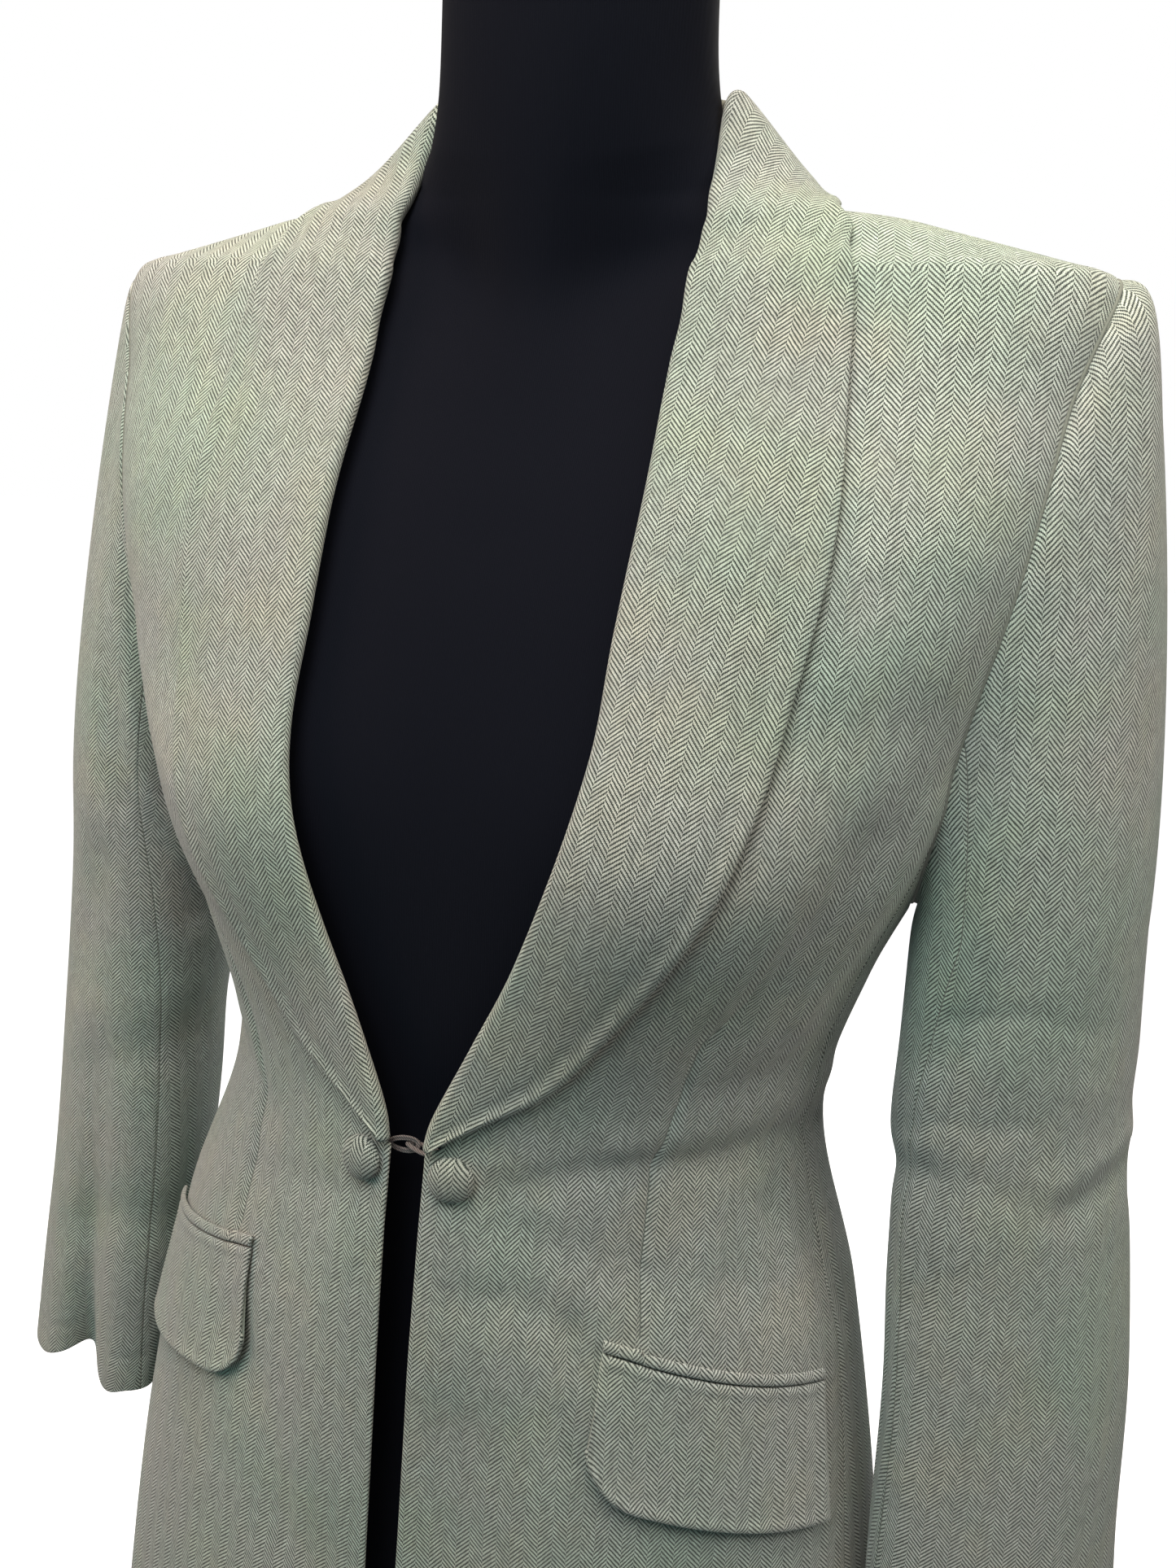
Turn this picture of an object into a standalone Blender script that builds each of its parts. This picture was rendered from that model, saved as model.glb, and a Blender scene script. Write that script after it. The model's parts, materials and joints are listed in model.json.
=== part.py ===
"""A herringbone day coat on a limbless dress form with a pole and a round base.

Metres, +Z up. The coat faces -Y and the wearer's left is +X. The origin is the
centre of the base's underside. Heights and levels in the tables are from the waist.
"""
import math

import bmesh
import bpy
import numpy as np
from mathutils import Vector

COLLECTION = "day_coat"

SIDES = (("left", 1), ("right", -1))

# Driving sizes
WAIST_Z = 1.040
CLOTH = 0.0020
SEAM_GAP = 0.0003
NECKLINE_GAP = 0.010
HEM_LEVEL = -0.590
NECK_LEVEL = 0.482
EDGE_HALF_GAP = 0.0072
COLLAR_TIP_LEVEL = 0.003
COLLAR_CLOTH = 0.0022
COLLAR_LIFT = 0.0015
ROLL_RADIUS = 0.0022
ROLL_EASE = 0.14
TIP_STEP = 0.006
SIDE_SEAM_BACK = 106.5
ARMHOLE_BOTTOM = 0.098
ARMHOLE_TOP = 0.345
ARMHOLE_FRONT = 16.0
ARMHOLE_BACK = 20.0
BUTTON_RADIUS = 0.0092
BUTTON_HEIGHT = 0.0060
BUTTON_ANGLE = 8.6
BUTTON_LEVEL = -0.0075
LOOP_THREAD = 0.0008
LOOP_HALF_LENGTH = 0.0062
LOOP_HALF_WIDTH = 0.0027
FLAP_FRONT = 37.4
FLAP_BACK = 75.0
FLAP_LEVEL = -0.077
FLAP_SLOPE = 0.026
FLAP_DROP = 0.060
SLEEVE_EASE = 0.0024
FLAP_CORNER = 0.20
FLAP_CORNER_RISE = 0.34
WELT_WIDTH = 0.0055
LAID_GAP = 0.0005
FORM_BOTTOM_LEVEL = -0.235
FORM_CLEARANCE = 0.0005
BASE_RADIUS = 0.195
BASE_THICKNESS = 0.012
POLE_RADIUS = 0.0125

# Rings round the coat's outer face. The level runs up the side of the body and then along the
# shoulder to the neck; front and back are the reach of the ring from its centre.
BODY_COLUMNS = ("level", "z_side", "z_front", "z_back", "half_width", "front", "back",
                "centre_y", "square")
BODY_RINGS = (
    ("hem", -0.590, -0.590, -0.590, -0.590, 0.232, 0.180, 0.205, 0.000, 2.0),
    ("thigh", -0.400, -0.400, -0.400, -0.400, 0.212, 0.156, 0.176, 0.000, 2.0),
    ("hip", -0.200, -0.200, -0.200, -0.200, 0.189, 0.131, 0.146, 0.000, 2.1),
    ("high_hip", -0.100, -0.100, -0.100, -0.100, 0.169, 0.120, 0.119, 0.000, 2.1),
    ("waist", 0.000, 0.000, 0.000, 0.000, 0.1435, 0.119, 0.088, 0.006, 1.95),
    ("ribs", 0.060, 0.060, 0.060, 0.062, 0.157, 0.120, 0.093, 0.005, 2.05),
    ("bust", 0.125, 0.120, 0.130, 0.132, 0.179, 0.118, 0.107, 0.004, 2.3),
    ("chest", 0.180, 0.172, 0.182, 0.188, 0.191, 0.113, 0.112, 0.010, 2.7),
    ("across", 0.240, 0.234, 0.240, 0.250, 0.204, 0.095, 0.112, 0.012, 3.2),
    ("upper", 0.295, 0.290, 0.292, 0.305, 0.211, 0.069, 0.104, 0.012, 3.3),
    ("shoulder", 0.345, 0.342, 0.322, 0.342, 0.211, 0.050, 0.086, 0.012, 2.8),
    ("shoulder_end", 0.358, 0.3455, 0.324, 0.347, 0.199, 0.048, 0.083, 0.012, 2.6),
    ("mid_shoulder", 0.415, 0.360, 0.325, 0.365, 0.143, 0.044, 0.070, 0.012, 2.3),
    ("neck", 0.484, 0.377, 0.345, 0.392, 0.075, 0.050, 0.058, 0.012, 2.1),
    ("stand", 0.520, 0.408, 0.380, 0.428, 0.0615, 0.050, 0.055, 0.013, 2.0),
)

# The side-front seam's angle on its way up from the hem.
SEAM_COLUMNS = ("level", "angle")
SEAM_PLACES = (
    ("hem", -0.590, 77.0),
    ("hip", -0.200, 78.0),
    ("pocket", -0.090, 81.0),
    ("waist", 0.010, 79.5),
    ("bust", 0.110, 76.5),
    ("armhole", 0.200, 76.5),
)

# Stations along each collar half, from its tip at the waist round to the centre back: the roll
# line, the outer edge and the hidden seam to the front, each as an angle in degrees and a level.
# Free says how far the fall hangs from its roll instead of lying on the coat.
COLLAR_COLUMNS = ("station", "roll", "roll_level", "edge", "edge_level", "seam", "seam_level",
                  "free")
COLLAR_STATIONS = (
    ("tip", 0.0, 4.6, 0.003, 5.8, 0.0058, 5.4, 0.003, 0.0),
    ("point", 1.0, 6.3, 0.018, 13.5, 0.0172, 9.0, 0.018, 0.0),
    ("belly", 2.0, 12.4, 0.048, 25.0, 0.034, 15.5, 0.046, 0.0),
    ("ribs", 3.0, 19.0, 0.081, 33.6, 0.0625, 22.0, 0.078, 0.0),
    ("under_bust", 4.0, 24.4, 0.120, 41.5, 0.103, 27.2, 0.118, 0.0),
    ("bust", 5.0, 28.1, 0.160, 47.4, 0.148, 30.8, 0.158, 0.0),
    ("chest", 6.0, 31.0, 0.205, 52.0, 0.198, 34.0, 0.204, 0.0),
    ("across", 7.0, 36.0, 0.250, 57.4, 0.250, 40.0, 0.250, 0.0),
    ("upper", 8.0, 44.2, 0.300, 63.4, 0.298, 49.0, 0.302, 0.0),
    ("collarbone", 9.0, 50.2, 0.330, 67.6, 0.330, 56.0, 0.338, 0.1),
    ("neck_front", 10.0, 56.3, 0.377, 70.6, 0.362, 62.0, 0.392, 0.3),
    ("neck_rise", 11.0, 61.0, 0.455, 73.8, 0.395, 67.5, 0.444, 0.5),
    ("neck_side", 12.0, 67.5, 0.485, 77.0, 0.429, 73.0, 0.468, 0.8),
    ("shoulder", 13.0, 78.0, 0.513, 87.0, 0.449, 81.0, 0.482, 1.0),
    ("neck_point", 14.0, 92.0, 0.519, 100.0, 0.455, 93.0, 0.4845, 1.0),
    ("neck_back", 15.0, 117.0, 0.520, 121.0, 0.452, 117.0, 0.4845, 1.0),
    ("behind", 16.0, 148.0, 0.520, 149.0, 0.445, 148.0, 0.4845, 1.0),
    ("centre_back", 17.0, 180.0, 0.520, 180.0, 0.441, 180.0, 0.4845, 1.0),
)

# Rings of each sleeve below the cap, across its long axis; turn swings the front edge inwards.
SLEEVE_COLUMNS = ("place", "x", "y", "z", "half_long", "half_short", "turn", "square")
SLEEVE_RINGS = {
    "left": (
        ("biceps", 0.0, 0.2175, 0.014, 0.095, 0.0620, 0.0440, 22.0, 2.0),
        ("above_elbow", 1.0, 0.2215, 0.012, 0.040, 0.0620, 0.0425, 34.0, 1.9),
        ("elbow", 2.0, 0.2255, 0.010, -0.020, 0.0620, 0.0430, 40.0, 1.9),
        ("forearm", 3.0, 0.2375, 0.004, -0.110, 0.0625, 0.0430, 44.0, 1.85),
        ("wrist", 4.0, 0.2425, -0.002, -0.185, 0.0645, 0.0430, 46.0, 1.8),
        ("cuff", 5.0, 0.2465, -0.006, -0.237, 0.0660, 0.0440, 48.0, 1.8),
    ),
    "right": (
        ("biceps", 0.0, 0.2148, 0.014, 0.095, 0.0620, 0.0440, 22.0, 2.0),
        ("above_elbow", 1.0, 0.2205, 0.012, 0.040, 0.0620, 0.0425, 34.0, 1.9),
        ("elbow", 2.0, 0.2245, 0.010, -0.020, 0.0620, 0.0430, 40.0, 1.9),
        ("forearm", 3.0, 0.2310, 0.004, -0.110, 0.0620, 0.0420, 44.0, 1.85),
        ("wrist", 4.0, 0.2370, -0.002, -0.180, 0.0630, 0.0420, 46.0, 1.8),
        ("cuff", 5.0, 0.2405, -0.006, -0.236, 0.0640, 0.0430, 48.0, 1.8),
    ),
}
# How far each sleeve head swells past its seam: under the arm, more at the top, and the rope.
SLEEVE_HEADS = {1: (0.006, 0.041, 0.008), -1: (0.004, 0.009, 0.001)}
# Depth of the fold up from each cuff, as a share of the sleeve, and its turn.
SLEEVE_FOLDS = {1: (0.06, 118.0), -1: (0.42, 132.0)}
# How far round the sleeve's underside is carried on its way from the armhole.
SLEEVE_TWIST = 24.0
TOP_SLEEVE_TURNS = (70.0, 82.0, 94.0, 105.0, 115.0, 124.0, 133.0, 144.0, 160.0, 182.0, 208.0,
                    236.0, 262.0, 284.0, 302.0)
UNDER_SLEEVE_TURNS = (-58.0, -40.0, -24.0, -8.0, 8.0, 24.0, 40.0, 56.0, 70.0)

# Finish of each kind of surface: red, green, blue, roughness, metallic
FINISHES = {
    "cloth": (0.36, 0.41, 0.33, 0.92, 0.0),
    "thread": (0.42, 0.41, 0.42, 0.80, 0.0),
    "form_cover": (0.012, 0.012, 0.014, 0.85, 0.0),
    "black_metal": (0.020, 0.020, 0.022, 0.40, 0.9),
}


class Table:
    """Rows of named values, read along a smooth cubic from row to row."""

    def __init__(self, columns, rows):
        values = np.array([row[1:] for row in rows], float)
        self.columns = columns
        self.places = values[:, 0]
        self.values = values
        self.slopes = np.gradient(values, self.places, axis=0)

    def read(self, place):
        place = np.clip(np.asarray(place, float), self.places[0], self.places[-1])
        k = np.clip(np.searchsorted(self.places, place) - 1, 0, len(self.places) - 2)
        span = (self.places[k + 1] - self.places[k])[..., None]
        u = (place - self.places[k])[..., None] / span
        start = (2 * u ** 3 - 3 * u ** 2 + 1) * self.values[k]
        start = start + (u ** 3 - 2 * u ** 2 + u) * span * self.slopes[k]
        end = (3 * u ** 2 - 2 * u ** 3) * self.values[k + 1]
        end = end + (u ** 3 - u ** 2) * span * self.slopes[k + 1]
        mixed = start + end
        return {name: mixed[..., i] for i, name in enumerate(self.columns)}


BODY = Table(BODY_COLUMNS, BODY_RINGS)
COLLAR = Table(COLLAR_COLUMNS, COLLAR_STATIONS)
SIDE_SEAM = Table(SEAM_COLUMNS, SEAM_PLACES)
SLEEVE = {side: Table(SLEEVE_COLUMNS, SLEEVE_RINGS[word]) for word, side in SIDES}


def bell(value, centre, width):
    return np.exp(-((value - centre) / width) ** 2)


def unit(vectors):
    return vectors / np.linalg.norm(vectors, axis=-1, keepdims=True)


def fullness(angle, level):
    """Room for the bust, and the fronts' edges standing proud where they are linked."""
    bust = 0.015 * bell(np.abs(angle), math.radians(40), 0.38) * bell(level, 0.112, 0.060)
    edges = 0.011 * bell(angle, 0.0, 0.42) * bell(level, -0.060, 0.130)
    return bust + edges


def skirt_folds(angle, level):
    """Soft flutes that grow towards the hem, deeper at the back."""
    growth = np.clip((-0.16 - level) / 0.43, 0.0, 1.0) ** 1.4
    back = 0.35 + 0.65 * np.sin(angle / 2) ** 2
    waves = 0.60 * np.cos(7 * angle + 0.5) + 0.40 * np.cos(11 * angle - 0.9)
    return 0.011 * growth * back * waves


def smooth_skin(angle, level):
    """Point on the body of the coat, without folds; angle 0 is the centre front."""
    angle, level = np.broadcast_arrays(np.asarray(angle, float), np.asarray(level, float))
    return ring_point(angle, level, fullness(angle, level))


def skin(angle, level):
    """Point on the coat's outer face, with its folds."""
    angle, level = np.broadcast_arrays(np.asarray(angle, float), np.asarray(level, float))
    return ring_point(angle, level, fullness(angle, level) + skirt_folds(angle, level))


def ring_point(angle, level, extra):
    ring = BODY.read(level)
    forward = np.cos(angle)
    sideways = np.sin(angle)
    depth = np.where(forward > 0, ring["front"], ring["back"])
    power = ring["square"]
    reach = (np.abs(forward / depth) ** power
             + np.abs(sideways / ring["half_width"]) ** power) ** (-1 / power) + extra
    z_end = np.where(forward > 0, ring["z_front"], ring["z_back"])
    height = ring["z_side"] + (z_end - ring["z_side"]) * forward ** 2
    return np.stack((reach * sideways, ring["centre_y"] - reach * forward, WAIST_Z + height), -1)


def normals_of(surface, angle, level):
    """Outward normals of a surface given as a function of angle and level."""
    step = 0.0005
    across = surface(angle + step, level) - surface(angle - step, level)
    along = surface(angle, level + step) - surface(angle, level - step)
    return unit(np.cross(across, along))


def add_object(name, vertices, faces, kind):
    """Mesh object with outward faces, shaded smooth, in the coat's collection."""
    mesh = bpy.data.meshes.new(name)
    mesh.from_pydata([tuple(v) for v in vertices], [], faces)
    sheet = bmesh.new()
    sheet.from_mesh(mesh)
    bmesh.ops.recalc_face_normals(sheet, faces=sheet.faces)
    sheet.to_mesh(mesh)
    sheet.free()
    thing = bpy.data.objects.new(name, mesh)
    bpy.data.collections[COLLECTION].objects.link(thing)
    dress(thing, kind)
    return thing


def dress(thing, kind):
    """Give an object its own material and smooth shading."""
    red, green, blue, roughness, metallic = FINISHES[kind]
    material = bpy.data.materials.new(thing.name + "_finish")
    material.use_nodes = True
    shader = material.node_tree.nodes["Principled BSDF"]
    shader.inputs["Base Color"].default_value = (red, green, blue, 1.0)
    shader.inputs["Roughness"].default_value = roughness
    shader.inputs["Metallic"].default_value = metallic
    thing.data.materials.clear()
    thing.data.materials.append(material)
    thing.data.shade_smooth()
    thing.data.set_sharp_from_angle(angle=math.radians(40))


def grid_faces(rows, columns, start, wrap=False):
    """Quads over a grid of points numbered row by row."""
    faces = []
    last = columns if wrap else columns - 1
    for i in range(rows - 1):
        for j in range(last):
            a = start + i * columns + j
            b = start + i * columns + (j + 1) % columns
            faces.append((a, b, b + columns, a + columns))
    return faces


def rim_loop(rows, columns):
    """Point numbers once round the border of a grid."""
    loop = [j for j in range(columns)]
    loop += [i * columns + columns - 1 for i in range(1, rows)]
    loop += [(rows - 1) * columns + j for j in range(columns - 2, -1, -1)]
    loop += [i * columns for i in range(rows - 2, 0, -1)]
    return loop


def wall(name, outer, inner, kind="cloth"):
    """Closed wall between two grids of points, such as a panel's face and its back."""
    rows, columns = outer.shape[:2]
    count = rows * columns
    vertices = np.concatenate((outer.reshape(-1, 3), inner.reshape(-1, 3)))
    faces = grid_faces(rows, columns, 0)
    faces += [tuple(reversed(f)) for f in grid_faces(rows, columns, count)]
    loop = rim_loop(rows, columns)
    for a, b in zip(loop, loop[1:] + loop[:1]):
        faces.append((b, a, a + count, b + count))
    return add_object(name, vertices, faces, kind)


def panel(name, angle, level, lift=0.0, cloth=CLOTH):
    """Piece of cloth over the body: its outer face lies this far off the coat's skin."""
    points = skin(angle, level)
    normals = normals_of(skin, angle, level)
    return wall(name, points + normals * lift, points + normals * (lift - cloth))


def spread(start, end, count):
    """Evenly spaced columns between two edges given row by row."""
    share = np.linspace(0.0, 1.0, count)
    return start[:, None] + (end - start)[:, None] * share


# The armhole

def armhole(turn, inset=0.0):
    """Angle and level on the armhole: turn 0 is the underarm, 90 degrees the front, 180 the top."""
    middle = (ARMHOLE_TOP + ARMHOLE_BOTTOM) / 2
    half = (ARMHOLE_TOP - ARMHOLE_BOTTOM) / 2 - inset
    level = middle - half * np.cos(turn)
    sideways = np.sin(turn)
    front = math.radians(ARMHOLE_FRONT) * (1 + 0.25 * np.cos(turn))
    back = math.radians(ARMHOLE_BACK)
    width = np.where(sideways > 0, front, back) - inset / 0.19
    return math.pi / 2 - width * sideways, level


def seam_angle(level):
    return np.radians(SIDE_SEAM.read(level)["angle"])


def turn_at(angle, front):
    """Where the armhole crosses a side seam, below its widest place."""
    turns = np.linspace(0.0, math.pi / 2, 400)
    if not front:
        turns = -turns
    angles, _ = armhole(turns)
    return float(turns[np.argmin(np.abs(angles - angle))])


FRONT_TURN = turn_at(math.radians(SEAM_PLACES[-1][2]), True)
BACK_TURN = turn_at(math.radians(SIDE_SEAM_BACK), False)


def collar_curve(kind, count=400):
    """Angle and level along one of the collar's lines, finely sampled."""
    rows = COLLAR.read(np.linspace(0.0, COLLAR_STATIONS[-1][1], count))
    return np.radians(rows[kind]), rows[kind + "_level"]


def neckline(level):
    """Angle of the fronts' hidden seam to the collar, at levels below the neck."""
    angle, height = collar_curve("seam")
    rising = np.maximum.accumulate(height)
    return np.interp(level, rising, angle) + NECKLINE_GAP


# The coat's panels

HALF_SEAM = SEAM_GAP / 2 / 0.17
LOWER_LEVELS = np.linspace(HEM_LEVEL, COLLAR_TIP_LEVEL - TIP_STEP, 10)
SHOULDER_LEVELS = np.linspace(ARMHOLE_TOP, NECK_LEVEL, 6)[1:]


def upper_levels(turn):
    """Levels from the collar's tip to where a side seam meets the armhole."""
    _, top = armhole(turn)
    return np.linspace(COLLAR_TIP_LEVEL, float(top), 8)


def front_edge(level):
    """Angle of the fronts' free edges below the collar."""
    reach = -skin(0.0, level)[..., 1]
    return np.arcsin(EDGE_HALF_GAP / reach)


def front_panel(name, side):
    """One front, from its free edge or the collar to the side seam, armhole and shoulder."""
    upper = upper_levels(FRONT_TURN)
    arm_angle, arm_level = armhole(np.linspace(FRONT_TURN, math.pi, 11)[1:])
    level = np.concatenate((LOWER_LEVELS, upper, arm_level, SHOULDER_LEVELS))
    seam_part = seam_angle(np.concatenate((LOWER_LEVELS, upper))) - HALF_SEAM
    shoulder = np.full(len(SHOULDER_LEVELS), math.pi / 2 - HALF_SEAM)
    far = np.concatenate((seam_part, arm_angle - HALF_SEAM, shoulder))
    near = np.where(level < COLLAR_TIP_LEVEL, front_edge(level), neckline(level))
    angle = spread(near, far, 10)
    panel(name, side * angle, np.broadcast_to(level[:, None], angle.shape))


def side_panel(name, side):
    """The piece under the arm, between the two side seams, its top scooped by the armhole."""
    front_levels = np.concatenate((LOWER_LEVELS, upper_levels(FRONT_TURN)))
    back_levels = np.concatenate((LOWER_LEVELS, upper_levels(BACK_TURN)))
    share = np.linspace(0.0, 1.0, 6)
    first = seam_angle(front_levels)[:, None] + HALF_SEAM
    last = math.radians(SIDE_SEAM_BACK) - HALF_SEAM
    angle = first + (last - first) * share
    turns = np.linspace(FRONT_TURN, BACK_TURN, 400)
    hole_angle, hole_level = armhole(turns)
    top = np.interp(angle[-1], hole_angle, hole_level)
    level = spread(front_levels, back_levels, len(share))
    rise = np.clip((level[:, :1] - COLLAR_TIP_LEVEL) / (level[-1:, :1] - COLLAR_TIP_LEVEL), 0, 1)
    level = level + (top - level[-1]) * rise
    panel(name, side * angle, level)


def back_panel(name, side):
    """One back, from the side seam, armhole and shoulder to the centre back seam."""
    upper = upper_levels(BACK_TURN)
    arm_angle, arm_level = armhole(np.linspace(BACK_TURN, -math.pi, 9)[1:])
    level = np.concatenate((LOWER_LEVELS, upper, arm_level, SHOULDER_LEVELS))
    seam = math.radians(SIDE_SEAM_BACK) + HALF_SEAM
    seam_part = np.full(len(LOWER_LEVELS) + len(upper), seam)
    shoulder = np.full(len(SHOULDER_LEVELS), math.pi / 2 + HALF_SEAM)
    near = np.concatenate((seam_part, arm_angle + HALF_SEAM, shoulder))
    centre = SEAM_GAP / 2 / np.abs(skin(math.pi, level)[..., 1])
    angle = spread(near, math.pi - centre, 9)
    panel(name, side * angle, np.broadcast_to(level[:, None], angle.shape))


# The shawl collar

def collar(name, side):
    """One half of the collar: a hidden layer or stand, the roll, and the fall outside."""
    row = COLLAR.read(np.linspace(0.0, COLLAR_STATIONS[-1][1], 27))
    limit = math.pi - SEAM_GAP / 2 / 0.066
    roll, edge, seam = (np.minimum(np.radians(row[k]), limit) for k in ("roll", "edge", "seam"))
    roll_at = (side * roll, row["roll_level"])
    edge_at = (side * edge, row["edge_level"])
    seam_at = (side * seam, row["seam_level"])
    base, out = surface_strip(seam_at, roll_at, np.linspace(0.0, 1.0, 3))
    base_middle = base - out * CLOTH / 2
    over, over_out = surface_strip(roll_at, edge_at, np.linspace(0.0, 1.0, 8))
    share = np.linspace(0.0, 1.0, 8)[None, :, None]
    start_lift = 2 * ROLL_RADIUS - CLOTH / 2
    end_lift = COLLAR_LIFT + COLLAR_CLOTH / 2
    lifts = start_lift + (end_lift - start_lift) * share
    lying = over + over_out * lifts
    up = out[:, -1]
    across = base[:, -1] - base[:, -2]
    across = unit(across - up * np.sum(across * up, -1, keepdims=True))
    bend, ways, first, leaving = roll_bend(base[:, -1], across, up, row["free"])
    free = fall_curve(first, leaving, lying[:, -1], over_out[:, -1], share)
    loose = row["free"][:, None, None]
    fall = lying + (free - lying) * loose
    fall_out = unit(over_out + (grid_normals(fall, side) - over_out) * loose)
    middle = np.concatenate((base_middle, bend, fall), 1)
    facing = np.concatenate((-out, ways, fall_out), 1) * COLLAR_CLOTH / 2
    outer = middle + facing
    inner = middle - facing
    outer[-1, :, 0] = side * SEAM_GAP / 2
    inner[-1, :, 0] = side * SEAM_GAP / 2
    wall(name, outer, inner)


def surface_strip(start, end, shares):
    """Points and normals of the coat's skin on straight lines between two curves on it."""
    angle = start[0][:, None] + (end[0] - start[0])[:, None] * shares
    level = start[1][:, None] + (end[1] - start[1])[:, None] * shares
    return skin(angle, level), normals_of(skin, angle, level)


def roll_bend(foot, across, up, free):
    """The roll's half turn, cut short where the fall hangs free, and where it hands over."""
    end = math.pi * (1 - ROLL_EASE * free)
    turns = (end[:, None] * np.array((0.2, 0.4, 0.6, 0.8)))[..., None]
    ways = np.sin(turns) * across[:, None] - np.cos(turns) * up[:, None]
    centre = foot + up * (ROLL_RADIUS - CLOTH / 2)
    end = end[:, None]
    last = centre + (np.sin(end) * across - np.cos(end) * up) * ROLL_RADIUS
    leaving = np.cos(end) * across + np.sin(end) * up
    return centre[:, None] + ways * ROLL_RADIUS, ways, last, leaving


def fall_curve(start, leaving, end, end_out, share):
    """A collar's fall hanging free, from its roll to where its edge comes down on the shoulder."""
    chord = end - start
    span = np.linalg.norm(chord, axis=-1, keepdims=True)
    arriving = unit(unit(chord) - end_out * 0.25)
    first = (leaving * span * 0.8)[:, None]
    last = (arriving * span * 0.9)[:, None]
    begin = (2 * share ** 3 - 3 * share ** 2 + 1) * start[:, None] + (
        share ** 3 - 2 * share ** 2 + share) * first
    finish = (3 * share ** 2 - 2 * share ** 3) * end[:, None] + (share ** 3 - share ** 2) * last
    return begin + finish


def grid_normals(points, side):
    """Normals of a grid whose columns run outwards from the roll line."""
    along = np.gradient(points, axis=0)
    across = np.gradient(points, axis=1)
    return unit(np.cross(across, along)) * side


# The sleeves

def sleeve_skin(turn, down, side):
    """Point on a sleeve's outer face; down is 0 at the armhole, 1 at the biceps, 6 at the cuff."""
    turn, down = np.broadcast_arrays(np.asarray(turn, float), np.asarray(down, float))
    arm = sleeve_ring(turn, np.maximum(down - 1.0, 0.0), side)
    cap = sleeve_cap(turn, np.clip(down, 0.0, 1.0), side)
    points = np.where((down < 1.0)[..., None], cap, arm)
    return clear_of_body(points, np.clip(3 * down, 0.0, 1.0))


def sleeve_cap(turn, share, side):
    """The head of a sleeve, from the armhole to the biceps."""
    angle, level = armhole(turn, SEAM_GAP + 0.0002)
    start = smooth_skin(angle, level)
    end = sleeve_ring(turn, np.zeros_like(turn), side)
    top = (1 - np.cos(turn)) / 2
    under, crown, rope = SLEEVE_HEADS[side]
    push = under + crown * top
    leaving = np.stack((push, -0.20 * push * np.sin(turn), 0.06 * push), -1) * top[..., None]
    leaving = leaving + (end - start) * (1 - top[..., None])
    reach = np.linalg.norm(end - start, axis=-1)
    drop = np.stack((0.04 * reach, 0 * reach, -1.05 * reach), -1)
    swell = rope * top ** 2 * (1 - np.exp(-share / 0.07)) * (1 - share) ** 1.5
    share = share[..., None]
    cap = (2 * share ** 3 - 3 * share ** 2 + 1) * start
    cap = cap + (share ** 3 - 2 * share ** 2 + share) * leaving
    cap = cap + (3 * share ** 2 - 2 * share ** 3) * end + (share ** 3 - share ** 2) * drop
    return cap + np.stack((swell, -0.25 * swell * np.sin(turn), 0.10 * swell), -1)


def clear_of_body(points, amount):
    """Hold a sleeve's points just outside the body's side, where the sleeve hangs against it."""
    x, y, level = points[..., 0], points[..., 1], points[..., 2] - WAIST_Z
    ring = BODY.read(np.clip(level, HEM_LEVEL, 0.24))
    depth = np.where(y < ring["centre_y"], ring["front"], ring["back"])
    away = np.clip(np.abs(y - ring["centre_y"]) / depth, 0.0, 1.0)
    side = ring["half_width"] * (1 - away ** ring["square"]) ** (1 / ring["square"])
    limit = side + SLEEVE_EASE * amount
    soft = 0.0020 * amount + 0.0001
    eased = limit + soft * np.logaddexp(0.0, (x - limit) / soft)
    weight = np.clip((0.22 - level) / 0.06, 0.0, 1.0) * np.clip(2.5 - 2.5 * away, 0.0, 1.0)
    return np.stack((x + (eased - x) * weight, y, points[..., 2]), -1)


def sleeve_ring(turn, place, side):
    """Point of a ring below the cap: turn 0 faces the body, 90 degrees is the front edge."""
    row = SLEEVE[side].read(place)
    turn = turn + math.radians(SLEEVE_TWIST) * (1 + np.cos(turn)) / 2
    swing = np.radians(row["turn"])
    power = row["square"]
    inner = np.cos(turn)
    forward = np.sin(turn)
    reach = (np.abs(inner) ** power + np.abs(forward) ** power) ** (-1 / power)
    reach = reach * (1 - sleeve_fold(turn, place, side))
    long = row["half_long"] * forward * reach
    short = row["half_short"] * inner * reach
    x = row["x"] - np.sin(swing) * long - np.cos(swing) * short
    y = row["y"] - np.cos(swing) * long + np.sin(swing) * short
    return np.stack((x, y, WAIST_Z + row["z"]), -1)


def sleeve_fold(turn, place, side):
    """The long fold up from each cuff, deeper on the right sleeve, and the crook of the elbow."""
    depth, centre = SLEEVE_FOLDS[side]
    growth = np.clip((place - 1.6) / 3.4, 0.0, 1.0) ** 1.5
    long_fold = depth * growth * bell(np.mod(turn, 2 * math.pi), math.radians(centre), 0.26)
    crook = 0.07 * bell(place, 2.15, 0.35) * bell(turn, math.radians(30), 0.8)
    return long_fold + crook


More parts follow.
